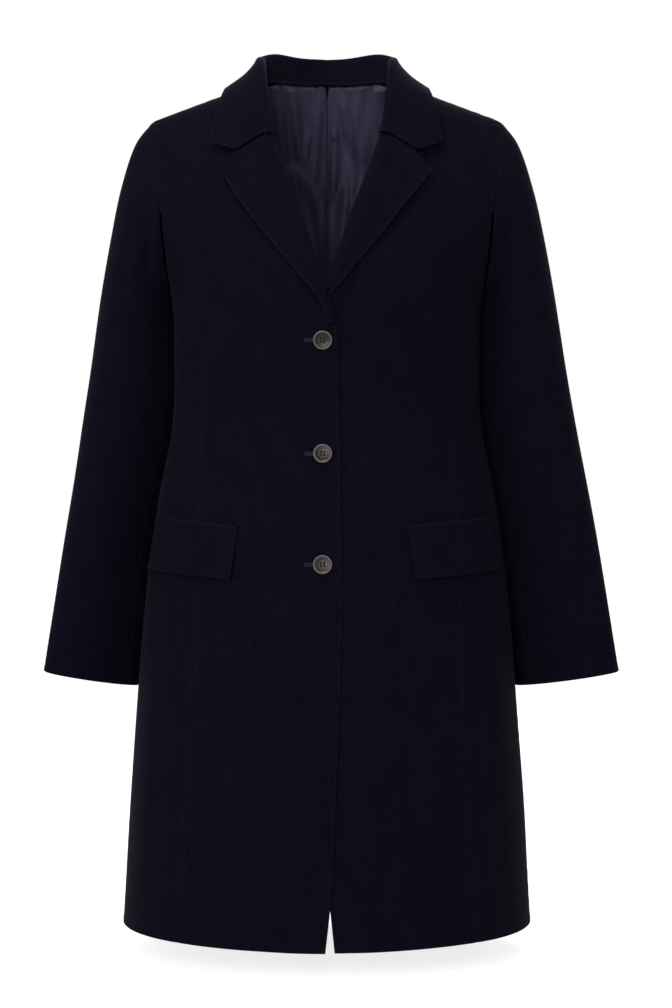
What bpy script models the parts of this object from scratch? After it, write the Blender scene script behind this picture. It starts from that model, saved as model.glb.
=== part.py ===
"""A knee-length single-breasted coat, in the shape it has when worn, with nobody in it.

Cloth walls are cut as a tailor cuts them: fronts, side fronts, backs, two-piece sleeves, lapels,
a folded collar, pocket flaps and a back lining, with three four-hole buttons.
Metres, +Z up, the front towards -Y. The origin lies midway between the two neck points of the
shoulders, where a wearer carries the coat. "right" and "left" are the wearer's own.
"""

import math
from collections import namedtuple

import bmesh
import bpy
from mathutils import Matrix, Vector

# Cloth
CLOTH_WALL = 0.002
LINING_WALL = 0.001
FOLDED_WALL = 0.0028
SEAM_GAP = 0.0003
LINING_CLEARANCE = 0.0034
LINING_SEAT = 0.0007

# Main lengths, measured down from the neck points
HEM = -0.9315
BACK_HEM_DROP = 0.012
SIDE_HEM_RISE = 0.007
UNDERARM = -0.237
UNDERARM_HALF = 0.172
SEAM_MEETS_ARMHOLE = -0.150
BREAK_OF_LAPEL = -0.285
GORGE = -0.070

# Shoulders and neck
NECK_HALF = 0.072
SHOULDER_HALF = 0.192
SHOULDER_DROP = 0.0445
SHOULDER_SLOPE = SHOULDER_DROP / (SHOULDER_HALF - NECK_HALF)
SHOULDER_REACH = 0.20
ARMHOLE_LEAN = (SHOULDER_HALF - UNDERARM_HALF) / (-UNDERARM - SHOULDER_DROP)
NECK_DIP = 0.0130
NECK_ROUND = 0.020
CHEST_RISE = 0.24
BACK_RISE = 0.08
RISE_POWER = 1.5
SECTION_ROUNDNESS = 2.3

# The right front laps over the left one
LAP_LIFT = 0.0030
LAP_BLEND = (-0.075, -0.020)

# Rows of facets up the body and columns across each panel
LOWER_ROWS = 20
UPPER_ROWS = 7
FRONT_COLUMNS = 7
SIDE_COLUMNS = 5
BACK_COLUMNS = 9
SLEEVE_ROWS = 18
TOP_SLEEVE_COLUMNS = 12
UNDER_SLEEVE_COLUMNS = 5

# The body's girth, a row for each level from the hem to the shoulder line
Section = namedtuple("Section", "level half_width front_depth back_depth")
BODY = (
    Section(HEM, 0.224, 0.170, 0.150),
    Section(-0.800, 0.217, 0.163, 0.146),
    Section(-0.660, 0.207, 0.154, 0.140),
    Section(-0.550, 0.197, 0.145, 0.131),
    Section(-0.460, 0.185, 0.134, 0.116),
    Section(-0.380, 0.170, 0.123, 0.101),
    Section(-0.310, 0.168, 0.129, 0.101),
    Section(UNDERARM, UNDERARM_HALF, 0.137, 0.111),
    Section(-0.150, 0.205, 0.132, 0.118),
    Section(-0.050, 0.228, 0.121, 0.119),
    Section(0.0, 0.236, 0.117, 0.117),
)

# Edges of the fronts: how far each lies from the centre line, towards its own side
Edge = namedtuple("Edge", "level right left")
FRONT_EDGE = (
    Edge(HEM, 0.0010, 0.0085),
    Edge(-0.880, -0.0045, 0.0030),
    Edge(-0.800, -0.0085, -0.0060),
    Edge(-0.680, -0.0135, -0.0120),
    Edge(-0.540, -0.0155, -0.0145),
    Edge(-0.400, -0.0137, -0.0137),
    Edge(BREAK_OF_LAPEL, -0.0110, -0.0110),
)

# Lines that are alike on both sides: the lapel's roll line, then the seam between the front panels
Line = namedtuple("Line", "level x")
ROLL_LINE = (
    Line(BREAK_OF_LAPEL, -0.0110),
    Line(-0.262, -0.0060),
    Line(-0.239, 0.0010),
    Line(-0.203, 0.0131),
    Line(-0.173, 0.0237),
    Line(-0.123, 0.0420),
    Line(-0.095, 0.0518),
    Line(GORGE, 0.0600),
    Line(-0.030, 0.0685),
    Line(0.0, NECK_HALF),
)
PANEL_SEAM = (
    Line(HEM, 0.158),
    Line(-0.800, 0.149),
    Line(-0.600, 0.139),
    Line(-0.400, 0.136),
    Line(-0.280, 0.138),
    Line(-0.215, 0.146),
    Line(SEAM_MEETS_ARMHOLE, 0.1786),
)

# The sleeve's rings: where each lies at its outer and inner edge, and its depth.
# Across, the inner edge lies just clear of the body.
Ring = namedtuple("Ring", "along outer_x outer_y outer_z inner_y inner_z half_depth")
SLEEVE = (
    Ring(0.00, SHOULDER_HALF, 0.0, -SHOULDER_DROP, 0.0, UNDERARM, 0.055),
    Ring(0.05, 0.2110, 0.000, -0.070, 0.014, -0.243, 0.060),
    Ring(0.12, 0.2265, -0.001, -0.118, 0.021, -0.253, 0.064),
    Ring(0.20, 0.2375, -0.003, -0.170, 0.024, -0.268, 0.067),
    Ring(0.30, 0.2490, -0.007, -0.238, 0.025, -0.296, 0.067),
    Ring(0.42, 0.2605, -0.012, -0.316, 0.025, -0.344, 0.064),
    Ring(0.55, 0.2725, -0.017, -0.392, 0.0245, -0.412, 0.060),
    Ring(0.70, 0.2865, -0.023, -0.477, 0.024, -0.495, 0.054),
    Ring(0.85, 0.3005, -0.029, -0.565, 0.023, -0.585, 0.046),
    Ring(1.00, 0.3135, -0.034, -0.649, 0.022, -0.6685, 0.040),
)
# How clear of the body it lies, near the armhole and lower down
SLEEVE_CLEARANCE = (0.0008, 0.0024)
CLEAR_OVER = 0.30
# How far each sleeve's cuff swings in or out at its outer edge
SWING = {"right": -0.0055, "left": 0.0050}
ARMHOLE_BLEND = 0.16
CLEAR_BY = 0.05
FRONT_SLEEVE_SEAM = math.radians(138)
BACK_SLEEVE_SEAM = math.radians(-122)

# The lapels, from the break up to the notch: the fold, the outer edge and the height off the front
Lapel = namedtuple("Lapel", "up roll_level edge_x edge_level roll_height edge_height")
RIGHT_LAPEL = (
    Lapel(0.00, -0.2790, -0.0034, -0.2765, 0.0042, 0.0040),
    Lapel(0.20, -0.2480, 0.0087, -0.2515, 0.0060, 0.0050),
    Lapel(0.36, -0.2160, 0.0233, -0.2330, 0.0095, 0.0060),
    Lapel(0.58, -0.1700, 0.0561, -0.1935, 0.0125, 0.0068),
    Lapel(0.82, -0.1150, 0.0921, -0.1445, 0.0138, 0.0072),
    Lapel(1.00, GORGE, 0.1136, -0.1035, 0.0135, 0.0074),
)
LEFT_LAPEL = (
    Lapel(0.00, -0.2400, 0.0045, -0.2485, 0.0088, 0.0064),
    Lapel(0.25, -0.1900, 0.0302, -0.2170, 0.0105, 0.0064),
    Lapel(0.50, -0.1500, 0.0570, -0.1840, 0.0122, 0.0068),
    Lapel(0.75, -0.1090, 0.0859, -0.1450, 0.0138, 0.0072),
    Lapel(1.00, GORGE, 0.1133, -0.1035, 0.0135, 0.0074),
)
LAPEL_NOTCH_AT = 0.65
LAPEL_NOTCH_RISE = 0.0090
LAPEL_COLUMNS = 6
LAPEL_ROWS = 14
# How far the fold rounds past the roll line, at the break and at the notch
LAPEL_ROLL = {"right": (0.0, 0.0026), "left": (0.0030, 0.0026)}
LAPEL_ROLL_WIDTH = 0.010
ROLL_SHARE = 0.8
# How far apart the two folds stay where the right lapel laps over the left one
LAPELS_APART = 0.0045
# Past this distance from its roll line the left lapel lies on the front, at a share of its height
LAID_OVER = 0.0020
LAID_SHARE = 0.65

# The collar, from the centre back to its front end: the fold's place from the neck seam,
# then the outer edge's place on the coat and its height off it
Station = namedtuple("Station", "along roll_x roll_y roll_z edge_x edge_level edge_back off_y off_z bulge")
COLLAR = (
    Station(0.00, 0.0000, 0.0055, 0.0273, 0.0000, -0.0190, True, 0.0060, 0.0010, 0.0045),
    Station(0.25, -0.0005, 0.0045, 0.0308, 0.0620, -0.0240, True, 0.0060, 0.0030, 0.0035),
    Station(0.42, -0.0010, 0.0025, 0.0272, 0.0950, -0.0120, True, 0.0045, 0.0045, 0.0000),
    Station(0.55, -0.0020, -0.0010, 0.0235, 0.1085, 0.0000, False, 0.0000, 0.0040, -0.0022),
    Station(0.70, -0.0026, -0.0045, 0.0185, 0.1145, -0.0100, False, -0.0045, 0.0050, 0.0005),
    Station(0.85, -0.0018, -0.0090, 0.0105, 0.1200, -0.0340, False, -0.0065, 0.0045, 0.0040),
    Station(1.00, -0.0001, -0.0146, -0.0032, 0.1245, -0.0640, False, -0.0075, 0.0015, 0.0050),
)
COLLAR_NOTCH_AT = 0.50
GORGE_DIP = Vector((-0.0052, -0.0087, -0.0136))
COLLAR_ROWS = 16
COLLAR_COLUMNS = 9
STAND_SHARE = 0.30
FOLD_SHARE = 0.20
FOLD_RADIUS = 0.0036
COLLAR_SEAT = 0.0008

# A pocket flap: corners across and down, and how far it stands off the coat
FLAP_TOP_INNER = (0.0910, -0.4885)
FLAP_TOP_OUTER = (0.1795, -0.4790)
FLAP_LOW_INNER = (0.0975, -0.5465)
FLAP_LOW_OUTER = (0.1895, -0.5385)
FLAP_COLUMNS = 8
FLAP_ROWS = 4
FLAP_CLEARANCE = 0.0010
FLAP_FLARE = 0.0022
# The left flap is set a little nearer the centre front
FLAP_SHIFT = {"right": 0.0, "left": -0.0068}

# Buttons on the right front
BUTTON_X = -0.004
Button = namedtuple("Button", "level stand")
BUTTONS = (
    Button(-0.2950, 0.0004),
    Button(-0.4145, 0.0009),
    Button(-0.5305, 0.0003),
)
BUTTON_RADIUS = 0.0100
BUTTON_RIM = 0.0021
BUTTON_THICKNESS = 0.0036
BUTTON_DISH = 0.0010
BUTTON_ROUND = 0.0008
BUTTON_HOLE_RADIUS = 0.0010
BUTTON_HOLE_SPREAD = 0.0021
BUTTON_SIDES = 24

# The back lining: gathered folds below the neck seam
LINING_TOP = 0.0
LINING_SEAT_FROM = 0.88
LINING_SEAT_FADE = 0.025
LINING_HEM = HEM + 0.025
LINING_SIDE = math.radians(97)
LINING_FROM_ARMHOLE = math.radians(9)
LINING_COLUMNS = 12
LINING_ROWS = 20
Fold = namedtuple("Fold", "top_x low_x top low width depth")
LINING_FOLDS = (
    Fold(0.016, 0.030, -0.004, -0.130, 0.013, 0.0040),
    Fold(0.040, 0.055, -0.004, -0.105, 0.012, 0.0050),
    Fold(0.060, 0.085, -0.010, -0.150, 0.014, 0.0040),
)

NAVY = (0.0052, 0.0050, 0.0112, 1.0)
LINING_BLUE = (0.0180, 0.0175, 0.0330, 1.0)
HORN = (0.055, 0.042, 0.038, 1.0)


def clear_scene():
    for obj in list(bpy.data.objects):
        bpy.data.objects.remove(obj, do_unlink=True)


def collection(name):
    made = bpy.data.collections.new(name)
    bpy.context.scene.collection.children.link(made)
    return made


def material(name, colour, roughness):
    made = bpy.data.materials.new(name)
    made.use_nodes = True
    shader = made.node_tree.nodes["Principled BSDF"]
    shader.inputs["Base Color"].default_value = colour
    shader.inputs["Roughness"].default_value = roughness
    shader.inputs["Metallic"].default_value = 0.0
    made.diffuse_color = colour
    return made


def ease(t):
    t = min(max(t, 0.0), 1.0)
    return t * t * (3.0 - 2.0 * t)


def mix(a, b, t):
    return a + (b - a) * t


def peak(t, at):
    """Rises in a straight line from 0 to 1 at one place, and falls to 0 again."""
    return t / at if t < at else (1.0 - t) / (1.0 - at)


def smooth(rows, at, column):
    """A table's column at a place between its rows, on a smooth curve through them."""
    last = len(rows) - 1
    at = min(max(at, rows[0][0]), rows[last][0])
    k = max(i for i in range(last) if rows[i][0] <= at)

    def slope(i):
        low, high = max(i - 1, 0), min(i + 1, last)
        return (rows[high][column] - rows[low][column]) / (rows[high][0] - rows[low][0])

    span = rows[k + 1][0] - rows[k][0]
    t = (at - rows[k][0]) / span
    start, end = rows[k][column], rows[k + 1][column]
    ahead = 3.0 * t * t - 2.0 * t**3
    leave = (t - 2.0 * t * t + t**3) * span
    arrive = (t**3 - t * t) * span
    return start + (end - start) * ahead + slope(k) * leave + slope(k + 1) * arrive


# The body's form

def shoulder_share(level):
    return ease((level + SHOULDER_REACH) / SHOULDER_REACH)


def shoulder_round(level, rise):
    """How much of its depth the body keeps this near the shoulder line."""
    t = min(max(-level / rise, 0.0), 1.0)
    return math.sqrt(1.0 - (1.0 - t) ** RISE_POWER)


def angle_at(x, level, back=False):
    """The angle round the body, from the centre front, of a point this far across."""
    half = smooth(BODY, level, 1)
    depth = smooth(BODY, level, 3 if back else 2)
    across = min(abs(x) / half, 1.0)
    away = depth * (1.0 - across**SECTION_ROUNDNESS) ** (1.0 / SECTION_ROUNDNESS)
    return math.copysign(math.atan2(abs(x), -away if back else away), x)


def body_point(angle, level):
    """The cloth's outer face at an angle round the body and a level below the shoulder line."""
    back = abs(angle) > math.pi / 2
    half = smooth(BODY, level, 1)
    depth = smooth(BODY, level, 3 if back else 2)
    across, ahead = math.sin(angle), math.cos(angle)
    power = SECTION_ROUNDNESS
    reach = (abs(across / half) ** power + abs(ahead / depth) ** power) ** (-1.0 / power)
    x = reach * across
    y = -reach * ahead * shoulder_round(level, BACK_RISE if back else CHEST_RISE)
    z = level - shoulder_share(level) * SHOULDER_SLOPE * (math.hypot(x, NECK_ROUND) - NECK_HALF)
    hem_curve = SIDE_HEM_RISE * across**2 - BACK_HEM_DROP * max(0.0, -ahead) ** 2
    z += hem_curve * (level / HEM) ** 6
    return Vector((x, y, z))


def armhole_x(level):
    """How far across the armhole's plane lies at a level."""
    slope = ARMHOLE_LEAN * shoulder_share(level) * SHOULDER_SLOPE
    height = level + shoulder_share(level) * SHOULDER_SLOPE * NECK_HALF + SHOULDER_DROP
    return (SHOULDER_HALF + ARMHOLE_LEAN * height) / (1.0 + slope)


def beside_body(y, level):
    """How far across the body reaches, this far behind its middle."""
    share = 1.0 - (y / smooth(BODY, level, 3)) ** SECTION_ROUNDNESS
    return smooth(BODY, level, 1) * share ** (1.0 / SECTION_ROUNDNESS)


def lap_lift(x):
    low, high = LAP_BLEND
    return LAP_LIFT * ease((-x - low) / (high - low))


# Walls of cloth

def facing_out(surface, u, v):
    """A surface's outward direction at a point of it, straight ahead on the centre line."""
    step = 0.002
    u0, u1 = max(u - step, 0.0), min(u + step, 1.0)
    v0, v1 = max(v - step, 0.0), min(v + step, 1.0)
    across = surface(u1, v) - surface(u0, v)
    up = surface(u, v1) - surface(u, v0)
    out = across.cross(up)
    if abs(surface(u, v).x) < SEAM_GAP:
        out.x = 0.0
    return out.normalized()


def parted(surface, columns, rows):
    """The same surface with its edges drawn in by half a seam's gap."""
    def length(points):
        return sum((b - a).length for a, b in zip(points, points[1:]))

    widths = {}
    heights = {}

    def inset(t, size):
        edge = min(0.5 * SEAM_GAP / max(size, 1e-6), 0.05)
        return mix(edge, 1.0 - edge, t)

    def drawn_in(u, v):
        row, column = round(v * rows), round(u * columns)
        if row not in widths:
            widths[row] = length([surface(k / columns, row / rows) for k in range(columns + 1)])
        if column not in heights:
            heights[column] = length([surface(column / columns, k / rows) for k in range(rows + 1)])
        return surface(inset(u, widths[row]), inset(v, heights[column]))

    return drawn_in


def wall(name, surface, columns, rows, thickness, finish, flatten=None):
    """A closed wall of cloth whose outer face is surface(u, v), u to the right of v seen from outside."""
    edged = parted(surface, columns, rows)
    bm = bmesh.new()
    bmesh.ops.create_grid(bm, x_segments=columns, y_segments=rows, size=0.5)
    outer = list(bm.verts)
    extruded = bmesh.ops.extrude_face_region(bm, geom=list(bm.faces))
    inner = [g for g in extruded["geom"] if isinstance(g, bmesh.types.BMVert)]
    for verts, depth in ((outer, 0.0), (inner, thickness)):
        for vert in verts:
            u, v = vert.co.x + 0.5, vert.co.y + 0.5
            point = edged(u, v)
            out = facing_out(edged, u, v)
            if flatten:
                out = flatten(out, u, v)
            vert.co = point - out * depth
    bmesh.ops.triangulate(bm, faces=list(bm.faces), quad_method="SHORT_EDGE")
    bmesh.ops.recalc_face_normals(bm, faces=list(bm.faces))
    return finished(name, bm, finish)


def finished(name, bm, finish):
    mesh = bpy.data.meshes.new(name)
    bm.to_mesh(mesh)
    bm.free()
    mesh.materials.append(finish)
    mesh.shade_smooth()
    mesh.set_sharp_from_angle(angle=math.radians(50))
    obj = bpy.data.objects.new(name, mesh)
    coat.objects.link(obj)
    return obj


def on_side(surface, side):
    """A surface drawn for the wearer's left, or its mirror image for the right."""
    if side == "left":
        return surface

    def mirrored(u, v):
        point = surface(1.0 - u, v)
        return Vector((-point.x, point.y, point.z))

    return mirrored


# Fronts

def front_level(v):
    split = LOWER_ROWS / (LOWER_ROWS + UPPER_ROWS)
    if v <= split:
        return mix(HEM, SEAM_MEETS_ARMHOLE, v / split)
    return SEAM_MEETS_ARMHOLE * (1.0 - (v - split) / (1.0 - split)) ** 2


def front_inner_x(level, side):
    if level >= BREAK_OF_LAPEL:
        return smooth(ROLL_LINE, level, 1)
    return smooth(FRONT_EDGE, level, 1 if side == "right" else 2)


def front_outer_x(level):
    return smooth(PANEL_SEAM, level, 1) if level < SEAM_MEETS_ARMHOLE else armhole_x(level)


def front_point(x, level, side):
    """The front's outer face, with the right front lifted over the left one."""
    point = body_point(angle_at(x, level), level)
    if side == "right":
        point.y -= lap_lift(x) * shoulder_round(level, CHEST_RISE)
    return point


def front_surface(side):
    def surface(u, v):
        level = front_level(v)
        start = angle_at(front_inner_x(level, side), level)
        end = angle_at(front_outer_x(level), level)
        point = body_point(mix(start, end, u), level)
        if side == "right":
            point.y -= lap_lift(point.x) * shoulder_round(level, CHEST_RISE)
        return point

    return on_side(surface, side)


def side_front_surface(side):
    def seam(v):
        level = mix(HEM, SEAM_MEETS_ARMHOLE, v)
        return Vector((angle_at(smooth(PANEL_SEAM, level, 1), level), level))

    def side_seam(v):
        return Vector((math.pi / 2, mix(HEM, UNDERARM, v)))

    def armhole(u):
        level = mix(UNDERARM, SEAM_MEETS_ARMHOLE, (1.0 - u) ** 2)
        return Vector((angle_at(armhole_x(level), level), level))

    def hem(u):
        return seam(0.0).lerp(side_seam(0.0), u)

    def surface(u, v):
        ruled = seam(v).lerp(side_seam(v), u) + hem(u).lerp(armhole(u), v)
        corners = hem(0.0).lerp(hem(1.0), u).lerp(armhole(0.0).lerp(armhole(1.0), u), v)
        angle, level = ruled - corners
        return body_point(angle, level)

    return on_side(surface, side)


# Back

def neck_dip(x):
    return -NECK_DIP * max(0.0, 1.0 - (x / NECK_HALF) ** 2) ** 2


def back_level(v):
    split = LOWER_ROWS / (LOWER_ROWS + UPPER_ROWS)
    if v <= split:
        return mix(HEM, UNDERARM, v / split)
    return UNDERARM * (1.0 - (v - split) / (1.0 - split)) ** 2


def back_point(angle, level):
    """The back's outer face. Near the top its rows dip to the neckline."""
    x = body_point(angle, level).x
    return body_point(angle, level + shoulder_share(level) * neck_dip(x))


def back_surface(side):
    def surface(u, v):
        level = back_level(v)
        start = math.pi / 2 if level <= UNDERARM else angle_at(armhole_x(level), level, back=True)
        return back_point(mix(start, math.pi, u), level)

    return on_side(surface, side)


def lining_surface(side):
    def placed(u, v):
        level = mix(LINING_HEM, LINING_TOP, 1.0 - (1.0 - v) ** 1.5)
        side_angle = LINING_SIDE
        if level > UNDERARM:
            side_angle = max(side_angle, angle_at(armhole_x(level), level, back=True) + LINING_FROM_ARMHOLE)
        return back_point(mix(side_angle, math.pi, u), level), level

    def plain(u, v):
        return placed(u, v)[0]

    def surface(u, v):
        point, level = placed(u, v)
        seated = ease((v - LINING_SEAT_FROM) / (1.0 - LINING_SEAT_FROM))
        seated *= ease((NECK_HALF - point.x) / LINING_SEAT_FADE)
        depth = CLOTH_WALL + mix(LINING_CLEARANCE, LINING_SEAT, seated)
        for fold in LINING_FOLDS:
            down = (fold.top - level) / (fold.top - fold.low)
            if 0.0 < down < 1.0:
                middle = mix(fold.top_x, fold.low_x, down)
                near = ease(1.0 - abs(point.x - middle) / fold.width)
                depth += fold.depth * near * ease(4.0 * down) * ease(1.6 * (1.0 - down))
        return point - facing_out(plain, u, v) * depth

    return on_side(surface, side)


# Sleeves

def sleeve_point(turn, v, side):
    """The sleeve's outer face: turn 0 at the top, a quarter turn at the front, half at the underarm."""
    level = UNDERARM * (0.5 - 0.5 * math.cos(turn))
    edge = body_point(angle_at(armhole_x(level), level, back=math.sin(turn) < 0.0), level)
    drop_at_armhole = (edge.z + SHOULDER_DROP) / (UNDERARM + SHOULDER_DROP)
    drop_below = 0.5 - 0.5 * math.cos(turn)
    share = ease(v / ARMHOLE_BLEND)
    drop = mix(drop_at_armhole, drop_below, share)
    outer = Vector((smooth(SLEEVE, v, 1), smooth(SLEEVE, v, 2), smooth(SLEEVE, v, 3)))
    outer.x += SWING[side] * ease(v)
    inner = Vector((0.0, smooth(SLEEVE, v, 4), smooth(SLEEVE, v, 5)))
    inner.x = beside_body(inner.y, inner.z)
    inner.x += mix(*SLEEVE_CLEARANCE, min(v / CLEAR_OVER, 1.0)) * min(v / CLEAR_BY, 1.0)
    point = outer.lerp(inner, drop)
    round_y = point.y - math.sin(turn) * smooth(SLEEVE, v, 6)
    return Vector((point.x + SEAM_GAP, mix(edge.y, round_y, share), point.z))


def sleeve_surface(start, end, side):
    def surface(u, v):
        return sleeve_point(mix(end, start, u), 1.0 - v, side)

    return on_side(surface, side)


def keep_in_armhole(side):
    """Holds the sleeve's top edge in the armhole's plane, so that it stands clear of the body."""
    across = 1.0 if side == "left" else -1.0
    plane = Vector((across, 0.0, -ARMHOLE_LEAN)).normalized()

    def flatten(out, u, v):
        hold = ease((v - 0.9) / 0.1)
        return (out - plane * out.dot(plane) * hold).normalized()

    return flatten


# Lapels and collar

def lapel_surface(side):
    table = RIGHT_LAPEL if side == "right" else LEFT_LAPEL

    def placed(u, v):
        level = smooth(table, v, 1)
        roll = Vector((smooth(ROLL_LINE, level, 1), level))
        over = max(LAPELS_APART - 2.0 * roll.x, 0.0) if side == "left" else 0.0
        roll.x += over
        edge = Vector((smooth(table, v, 2), smooth(table, v, 3)))
        spot = roll.lerp(edge, u)
        spot.y += LAPEL_NOTCH_RISE * peak(u, LAPEL_NOTCH_AT) * v**6
        return spot, (edge - roll).length, min(over / LAID_OVER, 1.0)

    def surface(u, v):
        (x, level), width, over = placed(u, v)
        point = front_point(x, level, side)
        turn = min(u * width / min(LAPEL_ROLL_WIDTH, ROLL_SHARE * width), 1.0)
        rolled = math.sqrt(1.0 - (1.0 - turn) ** 2)
        point.y -= mix(smooth(table, v, 4), smooth(table, v, 5), u) * mix(LAID_SHARE * over, 1.0, rolled)
        point.x -= mix(*LAPEL_ROLL[side], v) * (1.0 - rolled)
        return point

    return on_side(surface, side)


def neck_seam(along):
    """The neck edge of the coat, from the centre back over the neck point and down to the gorge."""
    if along <= 0.5:
        x = NECK_HALF * math.sin(math.pi * along)
        return back_point(angle_at(x, 0.0, back=True), 0.0)
    level = GORGE * (2.0 * along - 1.0) ** 1.4
    return front_point(smooth(ROLL_LINE, level, 1), level, "left")


def collar_edges():
    """The collar's outer edge at each station, lying just off the coat."""
    rows = []
    for row in COLLAR:
        angle = angle_at(row.edge_x, row.edge_level, row.edge_back)
        cloth_at = back_point(angle, row.edge_level) if row.edge_back else body_point(angle, row.edge_level)
        rows.append((row.along, cloth_at + Vector((0.0, row.off_y, row.off_z))))
    return rows


def collar_surface(u, v):
    """The collar's outer face, from its seam up the stand, over the fold and down the fall.
    v runs from the right front end round the back to the left one."""
    along = abs(2.0 * v - 1.0)
    seam = neck_seam(along) + Vector((0.0, 0.0, COLLAR_SEAT))
    offset = Vector((smooth(COLLAR, along, 1), smooth(COLLAR, along, 2), smooth(COLLAR, along, 3)))
    roll = seam + offset
    edge = smooth(COLLAR_EDGES, along, 1)
    rise = offset.normalized()
    spread = edge - seam
    outward = (spread - rise * spread.dot(rise)).normalized()
    radius = FOLD_RADIUS * mix(1.0, 0.7, ease(2.0 * along - 1.0))
    if u < STAND_SHARE:
        point = seam.lerp(roll - rise * radius, u / STAND_SHARE)
    elif u < STAND_SHARE + FOLD_SHARE:
        turn = math.pi * (u - STAND_SHARE) / FOLD_SHARE
        point = roll + outward * radius * (1.0 - math.cos(turn)) - rise * radius * (1.0 - math.sin(turn))
    else:
        t = (u - STAND_SHARE - FOLD_SHARE) / (1.0 - STAND_SHARE - FOLD_SHARE)
        start = roll + outward * 2.0 * radius - rise * radius
        point = start.lerp(edge, t) + outward * smooth(COLLAR, along, 9) * 4.0 * t * (1.0 - t)
        point += GORGE_DIP * peak(t, COLLAR_NOTCH_AT) * along**10
    return Vector((point.x if v > 0.5 else -point.x, point.y, point.z))


# Pocket flaps

def flap_surface(side):
    def surface(u, v):
        top = Vector(FLAP_TOP_INNER).lerp(Vector(FLAP_TOP_OUTER), u)
        low = Vector(FLAP_LOW_INNER).lerp(Vector(FLAP_LOW_OUTER), u)
        x, level = low.lerp(top, v)
        x += FLAP_SHIFT[side]
        point = body_point(angle_at(x, level), level)
        out = Vector((point.x, point.y, 0.0)).normalized()
        return point + out * (FOLDED_WALL + FLAP_CLEARANCE + FLAP_FLARE * (1.0 - v))

    return on_side(surface, side)


# Buttons

def turned_button(name, finish):
    """A turned disc with a raised rim, pierced by four holes."""
    top = BUTTON_THICKNESS
    dish = BUTTON_RADIUS - BUTTON_RIM
    profile = (
        (0.0, top - BUTTON_DISH),
        (dish - BUTTON_ROUND, top - BUTTON_DISH),
        (dish, top - 0.3 * BUTTON_ROUND),
        (dish + 0.5 * BUTTON_ROUND, top),
        (BUTTON_RADIUS - BUTTON_ROUND, top),
        (BUTTON_RADIUS, top - 1.2 * BUTTON_ROUND),
        (BUTTON_RADIUS - 0.5 * BUTTON_ROUND, 1.4 * BUTTON_ROUND),
        (BUTTON_RADIUS - 2.5 * BUTTON_ROUND, 0.0),
        (0.0, 0.0),
    )
    bm = bmesh.new()
    points = [bm.verts.new((r, 0.0, z)) for r, z in profile]
    edges = [bm.edges.new(pair) for pair in zip(points, points[1:])]
    bmesh.ops.spin(
        bm, geom=points + edges, cent=(0, 0, 0), axis=(0, 0, 1),
        angle=2 * math.pi, steps=BUTTON_SIDES, use_merge=True, use_duplicate=False,
    )
    bmesh.ops.remove_doubles(bm, verts=list(bm.verts), dist=1e-5)
    bmesh.ops.recalc_face_normals(bm, faces=list(bm.faces))
    button = finished(name, bm, finish)
    for k in range(4):
        turn = math.radians(45 + 90 * k)
        spot = Vector((math.cos(turn), math.sin(turn), 0.0)) * BUTTON_HOLE_SPREAD
        pierce(button, spot, "hole_%s_%d" % (name, k))
    return button


def pierce(button, spot, name):
    bm = bmesh.new()
    bmesh.ops.create_cone(
        bm, cap_ends=True, segments=10, radius1=BUTTON_HOLE_RADIUS, radius2=BUTTON_HOLE_RADIUS,
        depth=4 * BUTTON_THICKNESS,
    )
    mesh = bpy.data.meshes.new(name)
    bm.to_mesh(mesh)
    bm.free()
    cutter = bpy.data.objects.new(name, mesh)
    cutters.objects.link(cutter)
    cutter.parent = button
    cutter.location = spot
    cutter.hide_render = True
    cutter.display_type = "WIRE"
    cut = button.modifiers.new(name, "BOOLEAN")
    cut.operation = "DIFFERENCE"
    cut.object = cutter


def sew_on(button, level, stand):
    """Seats a button on the right front, square to the cloth."""
    step = 0.002
    here = front_point(-BUTTON_X, level, "right")
    beside = front_point(-BUTTON_X + step, level, "right")
    above = front_point(-BUTTON_X, level + step, "right")
    across = (beside - here).normalized()
    out = (above - here).cross(across).normalized()
    if out.y > 0:
        out = -out
    here.x, out.x = -here.x, -out.x
    up = Vector((0.0, 0.0, 1.0))
    right = up.cross(out).normalized()
    up = out.cross(right)
    turn = Matrix((right, up, out)).transposed().to_4x4()
    button.matrix_world = Matrix.Translation(here + out * stand) @ turn


clear_scene()
coat = collection("coat")
cutters = collection("cutters")
cutters.hide_render = True
cloth = material("navy_cloth", NAVY, 0.85)
satin = material("lining_satin", LINING_BLUE, 0.38)
horn = material("button_horn", HORN, 0.4)

BODY_ROWS = LOWER_ROWS + UPPER_ROWS
COLLAR_EDGES = collar_edges()
for side in ("right", "left"):
    wall("front_" + side, front_surface(side), FRONT_COLUMNS, BODY_ROWS, CLOTH_WALL, cloth)
    wall("side_front_" + side, side_front_surface(side), SIDE_COLUMNS, LOWER_ROWS, CLOTH_WALL, cloth)
    wall("back_" + side, back_surface(side), BACK_COLUMNS, BODY_ROWS, CLOTH_WALL, cloth)
    wall("back_lining_" + side, lining_surface(side), LINING_COLUMNS, LINING_ROWS, LINING_WALL, satin)
    hold = keep_in_armhole(side)
    top = sleeve_surface(BACK_SLEEVE_SEAM, FRONT_SLEEVE_SEAM, side)
    wall("top_sleeve_" + side, top, TOP_SLEEVE_COLUMNS, SLEEVE_ROWS, CLOTH_WALL, cloth, hold)
    under = sleeve_surface(FRONT_SLEEVE_SEAM, BACK_SLEEVE_SEAM + 2 * math.pi, side)
    wall("under_sleeve_" + side, under, UNDER_SLEEVE_COLUMNS, SLEEVE_ROWS, CLOTH_WALL, cloth, hold)
    wall("lapel_" + side, lapel_surface(side), LAPEL_COLUMNS, LAPEL_ROWS, FOLDED_WALL, cloth)
    wall("pocket_flap_" + side, flap_surface(side), FLAP_COLUMNS, FLAP_ROWS, FOLDED_WALL, cloth)
wall("collar", collar_surface, COLLAR_COLUMNS, 2 * COLLAR_ROWS, FOLDED_WALL, cloth)
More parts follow.
